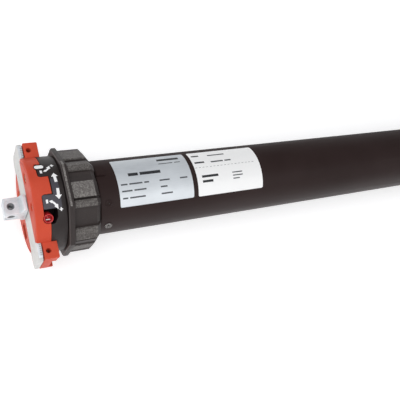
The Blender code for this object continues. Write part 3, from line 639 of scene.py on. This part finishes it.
def cap_lug(side):
    """Box behind a tab of the plate, with a cross hole and an open pocket at its back."""
    x, y = LUG_HOLE
    back = LUG_X[1]
    hole = radial(rod((-20.0, 20.0), 1.3, 28), x, 0.0)
    sink = radial(lathe([(11.3, 0.0), (11.3, 1.3), (12.0, 1.75), (12.0, 0.0)], 28), x, 0.0)
    rear = block((back - 0.9, back + 2), sided(side, LUG_Y[0] - 1, LUG_Y[1] + 1), (-13.0, 8.8), 0.2, 2)
    pocket = block((back - 3.3, back + 3), sided(side, LUG_Y[0] + 1.6, LUG_Y[1] + 2), (-8.8, 3.4), 0.4, 2)
    box = block(LUG_X, sided(side, *LUG_Y), (-LUG_HALF_WIDTH, LUG_HALF_WIDTH), 0.55, 4)
    return cut(box, moved(hole, (0.0, side * y, 0.0)), moved(sink, (0.0, side * y, 0.0)), rear, pocket)


def adjuster_hole(angle):
    return radial(rod((22.1, HEAD_RADIUS + 2), 3.0, 40), ADJUSTER_X, angle)


def socket_opening(x_range, radius, segments):
    (y0, y1), (z0, z1) = SOCKET_Y, SOCKET_Z
    return block(x_range, (y0 - 0.2, y1 + 0.2), (z0 - 0.2, z1 + 0.2), radius, segments)


def front_cap():
    r, inner, face = HEAD_RADIUS, CAP_INNER_RADIUS, FACE_X
    profile = [(face, 0.0), (face, r, 0.9), (TONGUE_X, r, 0.35), (TONGUE_X, inner, 0.2),
               (CAP_FLOOR_X, inner, 0.4), (CAP_FLOOR_X, 0.0)]
    first, last = TONGUE_ANGLES
    steps = [(CUT, sector((CAP_SKIRT_X, TONGUE_X + 1), r + 3, inner - 1, (last, 360 + first), 120)),
             (CUT, slot_cutter((SLOT_ANGLES[0], first), 17.45, True)),
             (CUT, slot_cutter((last, SLOT_ANGLES[1]), 17.2, False)),
             (ADD, cap_lug(-1)), (ADD, cap_lug(1))]
    groove = PLATE_X[1] + 0.25
    w, s = TAB_HALF_WIDTH + 0.25, STRIP_HALF_WIDTH + 0.25
    tools = [block((face - 1, groove), (-40.0, 40.0), (-s, s))]
    for side in (-1, 1):
        tools.append(block((face - 1, groove - 0.001), sided(side, TAB_START - 0.25, PAST_LUG_Y), (-w, w)))
    seat = [(face - 1, 0.0), (face - 1, 3.4), (face - 0.01, 3.4), (face + 0.4, 2.9), (face + 2.8, 2.9),
            (face + 2.8, 0.0)]
    dip = [(face - 1, 0.0), (face - 1, 2.8), (face - 0.01, 2.8), (face + 0.4, 2.4), (face + 3.2, 2.4),
           (face + 3.2, 1.0), (face + 1.6, 0.9), (face + 1.6, 0.0)]
    for outline, places in ((seat, CAP_SCREWS), (dip, FACE_RECESSES)):
        tools += [moved(lathe(outline, 36), (0.0, y, z)) for y, z in places]
    tools.append(socket_opening((face - 1, CAP_SKIRT_X + 1), 0.5, 3))
    tools += [adjuster_hole(angle) for angle in ADJUSTERS.values()]
    # shallow moulding ring on the face, near the rim
    tools.append(lathe([(face - 1, 25.6), (face + 0.35, 25.6), (face + 0.35, 26.1), (face - 1, 26.1)], 96))
    steps += [(CUT, tool) for tool in tools]
    piece("cap", carved(turned(profile, 144), *steps), "red", "front_cap")


def cap_screws():
    x = FACE_X
    for k, (y, z) in enumerate(CAP_SCREWS, 1):
        head = turned([(x + 0.5, 0.0), (x + 0.5, 2.75, 0.8), (x + 2.4, 2.75, 0.2), (x + 2.4, 1.25),
                       (x + 9.0, 1.25), (x + 9.0, 0.0)], 32)
        cross = [block((x - 1, x + 1.6), (-a, a), (-b, b), 0.12, 2) for a, b in ((1.5, 0.32), (0.32, 1.5))]
        piece(f"cap_fixing_{k}", moved(cut(head, *cross), (0.0, y, z)), "chromate", f"cap_screw_{k}")


def face_eyelets():
    """Short metal tubes that line the two recesses of the face: the metal seen in them, and a painted shade
    that darkens their walls.
    """
    x = FACE_X
    for k, (y, z) in enumerate(FACE_RECESSES, 1):
        eyelet = turned([(x + 0.7, 1.5, 0.2), (x + 0.7, 2.35, 0.3), (x + 3.15, 2.35), (x + 3.15, 1.0),
                         (x + 2.2, 1.0), (x + 2.2, 1.5)], 32, 4)
        piece(f"face_eyelet_{k}", moved(eyelet, (0.0, y, z)), "chromate")


def head_body():
    r = HEAD_RADIUS
    hub_x = CAP_FLOOR_X + 0.3
    profile = [(hub_x, 0.0), (hub_x, r, 0.35), (RIM_END_X, r, 0.35), (RIM_END_X, NECK_RADIUS, 0.4),
               (50.2, NECK_RADIUS, 0.4), (50.2, 20.9), (84.0, 20.9, 0.5), (84.0, 13.0), (30.0, 13.0),
               (30.0, 0.0)]
    outer, inner = r + 3, CAP_INNER_RADIUS - 0.3
    first, last = TONGUE_ANGLES
    skirt = (SLOT_ANGLES[1] - 0.6, 360 + SLOT_ANGLES[0] + 0.6)
    tools = [sector((hub_x - 1, CAP_SKIRT_X + 0.3), outer, inner, skirt, 120),
             sector((hub_x - 1, TONGUE_X + 0.35), outer, inner, (first - 0.6, last + 0.6), 12),
             sector((hub_x - 1, 17.75), outer, inner, (SLOT_ANGLES[0], first - 0.3), 12)]
    half = LUG_HALF_WIDTH + 0.3
    for side in (-1, 1):
        y = sided(side, LUG_Y[0] - 0.3, PAST_LUG_Y)
        tools.append(block((hub_x - 1, LUG_X[1] + 0.3), y, (-half, half), 0.4, 2))
    tools += [adjuster_hole(angle) for angle in ADJUSTERS.values()]
    tools.append(socket_opening((hub_x - 1, 31.0), 0.4, 2))
    # well that the lower adjuster stands in; its faces take the near-black pit look, a painted shade
    floor = 18.0
    well = [(-3.3, 2.5, 0.8), (-3.3, -3.4, 1.4), (0.6, -5.2, 2.5), (5.6, -5.2, 0.8), (5.6, 2.5, 0.8)]
    tools.append(radial(prism((floor, r + 2), filleted(well, 5)), ADJUSTER_X, ADJUSTERS["down"]))
    along = polar(0.0, ADJUSTERS["down"], 1.0)
    across = Vector((0.0, along.z, -along.y))

    def in_well(centre):
        inside = centre.dot(along) > floor - 0.1 and math.hypot(centre.y, centre.z) < r - 0.25
        return inside and -3.4 < centre.dot(across) < 5.7 and centre.x < ADJUSTER_X + 5.3

    piece("head", cut(turned(profile, 144), *tools), "black pit", "head_body", pick=in_well)


def adjusters():
    """Upper one black with a white bar, lower one an open red cup with a domed key inside."""
    foot, top = ADJUSTER_FOOT, ADJUSTER_TOP
    stem = turned([(foot, 0.0), (foot, 2.6), (top + 0.4, 2.6, 0.35), (top + 0.4, 0.0)], 40)
    outline = filleted([(-1.25, -2.5, 1.2), (1.45, -2.5, 1.3), (1.45, 2.5, 1.3), (-1.25, 2.5, 1.2)], 8)
    shrunk = [(a * 0.9, b * 0.95) for a, b in outline]
    bar = loft([(top - 0.6, outline), (top + 0.5, outline), (top + 0.6, shrunk)])
    cup = turned([(foot, 0.0), (foot, 2.65), (top + 0.35, 2.65, 0.3), (top + 0.35, 2.05, 0.25), (24.0, 1.95),
                  (24.0, 1.0), (25.2, 0.95, 0.3), (25.6, 0.0)], 40)
    key = block((25.0, 26.1), (-1.35, -0.75), (-1.25, 1.25), 0.25, 3)
    for way, suffix, bm, look, node, slot in (
            ("up", "", stem, "black", "adjusting_screw_up", None),
            ("up", "_bar", bar, "sign", None, "white_plastic"),
            ("down", "", cup, "cup", "adjusting_screw_down", None),
            ("down", "_bar", key, "white", None, "red_plastic")):
        standing = radial(bm, ADJUSTER_X, ADJUSTERS[way])
        piece(f"adjuster_{way}{suffix}", standing, look, node, f"screw_{way}")


def cable_socket():
    (y0, y1), (z0, z1) = SOCKET_Y, SOCKET_Z
    case = block((CAP_FLOOR_X - 3.4, 28.5), (y0, y1), (z0, z1), 0.4, 3)
    hollow = block((FACE_X - 1, 25.5), (y0 + 0.9, y1 - 0.9), (z0 + 0.9, z1 - 0.9), 0.3, 2)
    key = block((FACE_X, 22.0), (y0 + 4.0, y1 - 4.0), (z0 - 1, z0 + 1.5))
    piece("socket", cut(case, hollow, key), "black", "cable_socket")
    pin = [(17.0, 0.0), (17.0, 0.45, 0.3), (26.0, 0.45), (26.0, 0.0)]
    pins = [moved(turned(pin, 16, 4), (0.0, y0 + 1.9 + 1.75 * k, (z0 + z1) / 2)) for k in range(4)]
    piece("socket_pins", gathered(*pins), "zinc")


def head_panels():
    """Thin smoother fields of the head that carry the lower signs."""
    r = HEAD_RADIUS - 0.03
    arc = DEGREE * HEAD_RADIUS
    lower = panel((17.5, 27.4), (7.4 * arc, 23.0 * arc), r, 0.035, 0.5, 0.4)
    upper = panel((23.6, 27.4), (-12.0 * arc, 7.3 * arc), r, 0.035, 0.3, 0.4)
    piece("head_field", gathered(lower, upper), "slate")


def arrow(tail, tip, shaft=1.55, head=3.7, head_length=2.3):
    """Straight arrow along the arc direction."""
    way = 1 if tip[1] > tail[1] else -1
    base = tip[1] - way * head_length
    count = 5
    path = [(tail[0] + (tip[0] - tail[0]) * k / count, tail[1] + (base - tail[1]) * k / count)
            for k in range(count + 1)]
    widths = [shaft] * len(path)
    path += [(tip[0], base + way * 0.04), (tip[0], base + way * head_length / 2), tip]
    widths += [head, head / 2 + 0.08, 0.12]
    return ribbon(path, widths, *SIGN)


def swoosh(start, bend, end):
    """Curved double arrow: pointed at both ends, even between them."""
    path, widths = [], []
    for k in range(15):
        u = k / 14
        a, b, c = (1 - u) ** 2, 2 * u * (1 - u), u ** 2
        path.append([a * p + b * q + c * r for p, q, r in zip(start, bend, end)])
        if u < 0.22:
            widths.append(0.25 + 1.5 * u / 0.22)
        elif u > 0.68:
            widths.append(0.2 + 2.3 * (1 - u) / 0.32)
        else:
            widths.append(1.05)
    return ribbon(path, widths, *SIGN)


def pictograms():
    """Raised white signs on the head: up and down arrows, and a minus-to-plus turn beside each adjuster."""
    arc = DEGREE * SIGN[0]
    parts = [arrow((26.5, -6.6 * arc), (26.3, -18.6 * arc)), arrow((26.5, 1.0 * arc), (26.3, 13.4 * arc))]
    for turn in (((19.7, 14.6), (20.9, 14.6), (23.9, 15.6), (25.2, 24.4), (26.75, 24.9)),
                 ((19.9, -22.2), (21.3, -22.6), (24.2, -23.6), (25.2, -30.6), (26.7, -30.8))):
        minus, start, bend, end, plus = ((x, angle * arc) for x, angle in turn)
        x, s = minus
        parts.append(stroke((x, s - 1.05), (x, s + 1.05), 1.15, *SIGN))
        parts.append(swoosh(start, bend, end))
        x, s = plus
        parts.append(stroke((x, s - 1.0), (x, s + 1.0), 0.62, *SIGN))
        parts += [stroke((x + a, s), (x + b, s), 0.62, *SIGN) for a, b in ((-0.95, -0.33), (0.33, 0.95))]
    piece("head_signs", gathered(*parts), "sign")


# ---- crown and drive wheel ----

def octagon_radius(angle, flats, corner):
    """Distance to an octagon's edge at an angle, with its corners rounded off at a radius."""
    off = (angle + 22.5) % 45.0 - 22.5
    straight = flats / 2 / math.cos(math.radians(off))
    ease = 0.35
    return -math.log(math.exp(-straight / ease) + math.exp(-corner / ease)) * ease


def shell(stations, angles, outer, inner, special):
    """Closed ring from outer and inner radius functions of (x, angle). special() gives the number of
    each outer face's look."""
    bm = bmesh.new()
    out = [[bm.verts.new(polar(x, a, outer(x, a))) for a in angles] for x in stations]
    ins = [[bm.verts.new(polar(x, a, inner(x, a))) for a in angles] for x in stations]
    count = len(angles)
    for k in range(len(stations) - 1):
        for j in range(count):
            after = (j + 1) % count
            face = bm.faces.new((out[k][j], out[k][after], out[k + 1][after], out[k + 1][j]))
            middle = angles[j] + ((angles[after] - angles[j]) % 360) / 2
            face.material_index = int(special((stations[k] + stations[k + 1]) / 2, middle))
            bm.faces.new((ins[k][j], ins[k + 1][j], ins[k + 1][after], ins[k][after]))
    for ring_out, ring_in in ((out[0], ins[0]), (out[-1], ins[-1])):
        for j in range(count):
            after = (j + 1) % count
            bm.faces.new((ring_out[j], ring_in[j], ring_in[after], ring_out[after]))
    return bm


# relief of half the crown: start angle, depth below the flat in millimetres, and look: 0 smooth,
# 1 pad painted lighter as a highlight, 2 darker pad
CROWN_RELIEF = (
    (-62.0, 0.0, 2), (-40.0, 2.0, 0), (-36.0, 1.1, 0), (-30.0, 0.2, 2), (-17.0, 2.2, 0), (-10.0, 1.2, 0),
    (-4.0, 0.0, 1), (15.4, 2.4, 0), (17.4, 0.35, 2), (26.0, 1.7, 0), (51.0, 0.0, 2), (66.0, 2.0, 0),
    (70.0, 1.0, 0), (84.0, 0.0, 2), (103.0, 2.2, 0), (107.0, 0.2, 0))
RELIEF_START = CROWN_RELIEF[0][0]
RELIEF_WALL = 0.45


def relief(angle):
    """Depth and look of the crown's surface at an angle, with short sloped walls."""
    a = (angle - RELIEF_START) % 180.0 + RELIEF_START
    index = max(k for k, row in enumerate(CROWN_RELIEF) if row[0] <= a)
    start, depth, look = CROWN_RELIEF[index]
    before = CROWN_RELIEF[index - 1]
    after = CROWN_RELIEF[(index + 1) % len(CROWN_RELIEF)]
    end = after[0] if index + 1 < len(CROWN_RELIEF) else RELIEF_START + 180.0
    if a - start < RELIEF_WALL:
        depth += (before[1] - depth) * (0.5 - (a - start) / RELIEF_WALL / 2)
    elif end - a < RELIEF_WALL:
        depth += (after[1] - depth) * (0.5 - (end - a) / RELIEF_WALL / 2)
    return depth, look


def ease_between(x, start, end):
    t = max(0.0, min(1.0, (x - start) / (end - start)))
    return t * t * (3 - 2 * t)


def corner_angles():
    return {(22.5 + 45 * corner + d) % 360 for corner in range(8) for d in (-2, -1, 0, 1, 2)}


def relief_angles(step=1.5):
    marks = corner_angles()
    for half in (0.0, 180.0):
        for start, _, _ in CROWN_RELIEF:
            marks.update(round(start + half + d, 3) % 360 for d in (-RELIEF_WALL, 0.0, RELIEF_WALL))
    count = round(360 / step)
    marks.update(k * step for k in range(count) if all(abs(k * step - m) > step / 2 for m in marks))
    return sorted(marks)


def crown_ring():
    x0, x1 = CROWN_X
    step_x = x0 + 3.4
    body = CROWN_FLATS - 3.0

    def outer(x, angle):
        flange = octagon_radius(angle, CROWN_FLATS - 2.6 * (1 - ease_between(x, x0 - 0.6, x0 + 1.1)), 32.6)
        rear = octagon_radius(angle, body - 6.4 * max(0.0, (x - x1 + 2.9) / 2.9), 31.2)
        depth = relief(angle)[0]
        grip = octagon_radius(angle, body, 31.2) - depth * ease_between(x, step_x, step_x + 0.5)
        low = min(grip, rear - 0.7 * depth)
        return flange + (low - flange) * ease_between(x, step_x - 0.35, step_x + 0.25)

    def look(x, angle):
        if step_x + 0.5 < x < x1 - 2.7:
            return relief(angle)[1]
        # a band behind the flange's front edge takes the lighter pad look: a painted highlight
        if x0 + 0.6 < x < x0 + 1.6 and (angle + 30.0) % 180.0 < 53.0:
            return 1
        # the flange's front face takes the lighter edge look: painted light over its shade
        return 3 if x < x0 + 0.6 else 0

    stations = [x0 + d for d in (0, 0.15, 0.4, 0.8, 1.2, 1.9)]
    stations += [step_x + d for d in (-0.4, -0.25, -0.05, 0.15, 0.3, 0.5, 0.9)]
    stations += [step_x + 1.9 + k for k in range(10)]
    stations += [x1 - d for d in (3.1, 2.9, 2.6, 1.4, 0.3, 0)]
    bm = shell(stations, relief_angles(), outer, lambda x, a: 22.05, look)
    piece("crown", bm, "crown pads dark_pads edge", "crown_ring", body="crown", smooth=28.0)


def crown_stop():
    radius, arc = TUBE_RADIUS + 0.25, DEGREE * (TUBE_RADIUS + 0.25)
    plate = panel((50.8, 56.4), (-33.0 * arc, -14.0 * arc), radius, 0.75, 0.8, 0.4)
    rib = panel((51.3, 54.4), (-31.5 * arc, -15.5 * arc), radius + 0.7, 0.35, 0.5, 0.4)
    piece("crown_tongue", gathered(plate, rib), "lacquer", "crown_stop")


# ---- tube, rivets and labels ----

def tube():
    x0, x1 = TUBE_X
    r = TUBE_RADIUS
    edge = [(0.35, 1.2), (0.1, 1.0), (0.0, 0.6), (0.1, 0.2), (0.35, 0.0)]
    profile = [(x0 + dx, r - dr) for dx, dr in edge]
    profile += [(x0 + (x1 - x0) * k / 24, r) for k in range(1, 24)]
    profile += [(x1 - dx, r - dr) for dx, dr in reversed(edge)]
    piece("tube", lathe(profile, 192), "lacquer", "motor_tube")
    arc = DEGREE * r
    seam = panel((x0 + 1.5, x1 - 1.5), (179.0 * arc, 181.0 * arc), r - 0.02, 0.07, 0.0, 0.4)
    piece("tube_seam", seam, "lacquer")


def tube_rivets():
    top = TUBE_RADIUS - 0.05
    for k in range(1, 7):
        low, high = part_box(f"tube_rivet_{k}")
        middle = (low + high) / 2 / MM
        x, angle = middle.x, math.degrees(math.atan2(-middle.y, middle.z))
        body = turned([(18.6, 0.0), (18.6, 1.4), (top, 1.4), (top, 2.35, 0.2), (top + 0.45, 2.1, 0.25),
                       (top + 0.75, 1.35, 0.3), (top + 0.1, 0.75, 0.2), (top + 0.1, 0.0)], 32, 4)
        # rivets more than 50° round from the top get the lighter speckled paint, the others plain lacquer
        look = "worn" if abs(angle) > 50 else "lacquer"
        piece(f"rivet_{k}", radial(body, x, angle), look, f"tube_rivet_{k}")
        core = turned([(top - 0.4, 0.0), (top - 0.4, 0.55), (top + 0.4, 0.5, 0.25), (top + 0.45, 0.0)], 20, 4)
        piece(f"rivet_pin_{k}", radial(core, x, angle), "crown")


def words(x, angle, height, *lengths):
    """Row of plain bars where a label has words, centred on an angle. Nothing on the labels can be read."""
    middle, gap = angle * DEGREE * PRINT[0], 1.2
    parts = []
    for length in lengths:
        parts.append(panel((x, x + length), (middle - height / 2, middle + height / 2), *PRINT))
        x += length + gap
    return parts


def labels():
    arc = DEGREE * PRINT[0]
    first, last = LABEL_ANGLES
    for name, look in (("rating", "silver_foil"), ("serial", "white_foil")):
        along, around = span(f"{name}_label", 0), (first * arc, last * arc)
        sheet = panel(along, around, LABEL_RADIUS, LABEL_THICKNESS, 0.9, 0.5)
        piece(f"label_{name}", sheet, look, f"{name}_label")

    x0 = span("rating_label", 0)[0]
    bold = words(x0 + 29.0, -34.0, 1.9, 14.6) + words(x0 + 7.5, -11.0, 2.0, 6.2, 13.4)
    piece("rating_print", gathered(*bold), "print")

    # each row: its angle, then columns of offset and lengths of the bars
    rows = ((3.9, ((1.7, (4.0, 8.2, 3.0)), (26.2, (6.6,)), (39.8, (5.0,)))),
            (13.9, ((1.7, (6.4, 7.6)), (26.2, (4.4,)))),
            (24.5, ((1.7, (3.2, 9.8)), (26.2, (7.4,)))))
    fine = words(x0 + 29.0, -25.2, 0.6, 9.4, 4.0)
    for angle, columns in rows:
        for dx, lengths in columns:
            fine += words(x0 + dx, angle, 0.9, *lengths)
    piece("rating_rows", gathered(*fine), "print_fine")

    x0 = span("serial_label", 0)[0]
    dark = words(x0 + 1.6, -33.8, 1.2, 5.2) + words(x0 + 1.6, -18.6, 1.2, 6.8)
    dark += words(x0 + 3.6, 6.6, 1.5, 11.6) + words(x0 + 3.6, 14.6, 1.5, 7.4)
    piece("serial_print", gathered(*dark), "print")

    light = words(x0 + 13.0, -32.6, 1.0, 12.2) + words(x0 + 13.0, -17.6, 1.0, 8.8, 4.6)
    for angle, length in ((5.6, 7.4), (10.6, 7.4), (15.6, 4.8)):
        light += words(x0 + 25.6, angle, 0.7, length)
    light += words(x0 + 0.6, -9.0, 0.2, *[1.4] * 17)
    piece("serial_rows", gathered(*light), "print_fine")


# ---- drive end ----

def gearbox_cap():
    x0, x1 = span("gearbox_cap", 0)
    r = span("gearbox_cap", 2)[1]
    profile = [(x0, 7.8), (x0, r), (x1 - 0.1, r, 0.6), (x1 - 0.1, 16.5, 0.5), (x1 - 1.6, 15.2, 0.5),
               (x1 - 1.6, 12.0, 0.3), (545.7, 12.0), (545.7, 7.8)]
    tools = []
    for angle in (30, 150, 270):
        a = math.radians(angle)
        tools.append(moved(rod((x1 - 1.2, x1 + 2), 1.5, 24), (0.0, 18.6 * math.cos(a), 18.6 * math.sin(a))))
    piece("gearbox_end", cut(turned(profile, 96, 4), *tools), "aluminium", "gearbox_cap")


def drive_wheel():
    x0, x1 = WHEEL_X

    def outer(x, angle):
        edge = min(ease_between(x, x0 - 1.2, x0 + 1.2), 1 - ease_between(x, x1 - 1.2, x1 + 1.2))
        r = octagon_radius(angle, WHEEL_FLATS - 2.0 * (1 - edge), 30.0)
        off = (angle + 22.5) % 45.0 - 22.5
        groove = ease_between(abs(off), 3.2, 2.4) * 1.3
        band = ease_between(x, x0 + 3.0, x0 + 3.8) * (1 - ease_between(x, x1 - 3.8, x1 - 3.0))
        return r - groove * band

    def pad(x, angle):
        off = abs((angle + 22.5) % 45.0 - 22.5)
        return x0 + 4 < x < x1 - 4 and 5.0 < off < 17.0

    edge = (0, 0.2, 0.6, 1.2, 3.0, 3.3, 3.8)
    stations = [x0 + d for d in edge] + [x0 + 5 + 2 * k for k in range(9)] + [x1 - d for d in reversed(edge)]
    offsets = (0, 2.3, 2.8, 3.3, 5, 8, 11, 14, 17)
    marks = corner_angles()
    marks.update((45 * flat + way * d) % 360 for flat in range(8) for d in offsets for way in (-1, 1))
    rim = shell(stations, sorted(marks), outer, lambda x, a: octagon_radius(a, WHEEL_FLATS - 6.0, 28.0), pad)
    piece("wheel_rim", rim, "black pads", body="output", smooth=28.0)

    hub = turned([(x0 + 0.2, 0.0), (x0 + 0.2, 11.0, 0.6), (x1 - 2, 11.0, 0.8), (x1 - 2, 0.0)], 72, 4)
    web = prism((x0 + 10, x0 + 13.5), [tuple(polar(0, 22.5 + 45 * k, 27.2)[1:]) for k in range(8)])
    ribs = [radial(block((9.5, 26.2), (-1.1, 1.1), (2 - x1, -2 - x0), 0.35, 3), 0.0, 45.0 * k)
            for k in range(8)]
    core = carved(hub, *[(ADD, part) for part in (web, *ribs)])
    bore = prism((x0 - 1, x1 - 4), rounded(10.4, 10.4, 0.5))
    eye = rod((x1 - 6, x1 + 1), 3.4, 40)
    piece("wheel_core", cut(core, bore, eye), "black", "drive_wheel", body="output")


def wheel_fixing():
    x0, x1 = span("wheel_washer", 0)
    washer = turned([(x0, 3.4, 0.2), (x0, 8.0, 0.3), (x1, 8.0, 0.3), (x1, 3.4, 0.2)], 64, 4)
    piece("washer", washer, "zinc", "wheel_washer", body="output")
    s0, s1 = span("wheel_screw", 0)
    head = x1 + 0.3
    profile = [(s0, 0.0), (s0, 2.1, 0.4), (head, 2.1), (head, 5.3, 0.3), (s1, 4.9, 0.5), (s1, 0.0)]
    key = lathe([(s1 - 2.2, 0.0), (s1 - 2.2, 2.3), (s1 + 1, 2.3), (s1 + 1, 0.0)], 6)
    piece("screw", cut(turned(profile, 48, 4), key), "zinc", "wheel_screw", body="output")


# ---- what is inside keeps its CAD shape, with a worked material ----

def inner_looks():
    for name, obj in frame["nodes"].items():
        if obj.hide_render:
            continue
        slot = SLOTS[name]
        obj.data.materials.clear()
        obj.data.materials.append(LOOKS[SLOT_LOOKS.get(slot, slot)])


# ---- stage, light and camera ----

def pale_floor():
    bm = bmesh.new()
    bmesh.ops.create_circle(bm, cap_ends=True, radius=14.0, segments=96)
    mesh = bpy.data.meshes.new("floor")
    moved(bm, (0.25, 0.0, FLOOR_Z)).to_mesh(mesh)
    bm.free()
    look = Look("pale_floor", Roughness=0.9, Specular_IOR_Level=0.1, Emission_Strength=0.45)
    look.feed(Base_Color=look.clouded(3.0, 0.86, 0.90, 2.0))
    look.shader.inputs["Emission Color"].default_value = (1.0, 1.0, 1.0, 1.0)
    mesh.materials.append(look.material)
    shown("floor", mesh)


def area_light(name, place, target, size, power):
    data = bpy.data.lights.new(name, "AREA")
    data.shape = "RECTANGLE"
    data.size, data.size_y = size
    data.energy = power
    obj = shown(name, data)
    obj.location = place
    obj.rotation_euler = (Vector(target) - Vector(place)).to_track_quat("-Z", "Y").to_euler()


def lights():
    area_light("key", (-0.35, -0.10, 1.10), (0.15, 0.0, 0.0), (1.1, 0.9), 7.6)
    area_light("long_soft", (0.45, -0.75, 0.95), (0.25, 0.0, 0.0), (1.6, 0.7), 3.8)
    world = bpy.data.worlds.new("studio")
    scene.world = world
    world.use_nodes = True
    nodes, link = world.node_tree.nodes, world.node_tree.links.new
    coords, parts, sky = (nodes.new("ShaderNode" + kind) for kind in ("TexCoord", "SeparateXYZ", "ValToRGB"))
    stops = ((0.04, (0.97, 0.97, 0.97, 1.0)), (0.30, (0.31, 0.315, 0.33, 1.0)))
    for point, (position, color) in zip(sky.color_ramp.elements, stops):
        point.position = position
        point.color = color
    link(coords.outputs["Generated"], parts.inputs["Vector"])
    link(parts.outputs["Z"], sky.inputs["Fac"])
    link(sky.outputs["Color"], nodes["Background"].inputs["Color"])
    scene.view_settings.view_transform = "Standard"


def camera():
    """Looks down on the head from its left: azimuth and elevation of the line of sight, then the roll."""
    azimuth, elevation, roll = (math.radians(a) for a in (28.58, 59.63, 49.34))
    level = math.cos(elevation)
    sight = Vector((level * math.cos(azimuth), level * math.sin(azimuth), -math.sin(elevation)))
    side = sight.cross(Vector((0.0, 0.0, 1.0))).normalized()
    up = side.cross(sight)
    right = side * math.cos(roll) + up * math.sin(roll)
    top = up * math.cos(roll) - side * math.sin(roll)
    data = bpy.data.cameras.new("camera")
    data.sensor_width = 36.0
    data.lens = 50.19
    data.clip_start = 0.01
    obj = shown("camera", data)
    turn = Matrix((right, top, -sight)).transposed().to_4x4()
    obj.matrix_world = Matrix.Translation(Vector((-40.39, -100.08, 317.51)) * MM) @ turn
    scene.camera = obj


for make in (square_pin, mounting_plate, front_cap, cap_screws, face_eyelets, head_body, adjusters,
             cable_socket, head_panels, pictograms, crown_ring, crown_stop, tube, tube_rivets, labels,
             gearbox_cap, drive_wheel, wheel_fixing, inner_looks, pale_floor, lights, camera):
    make()
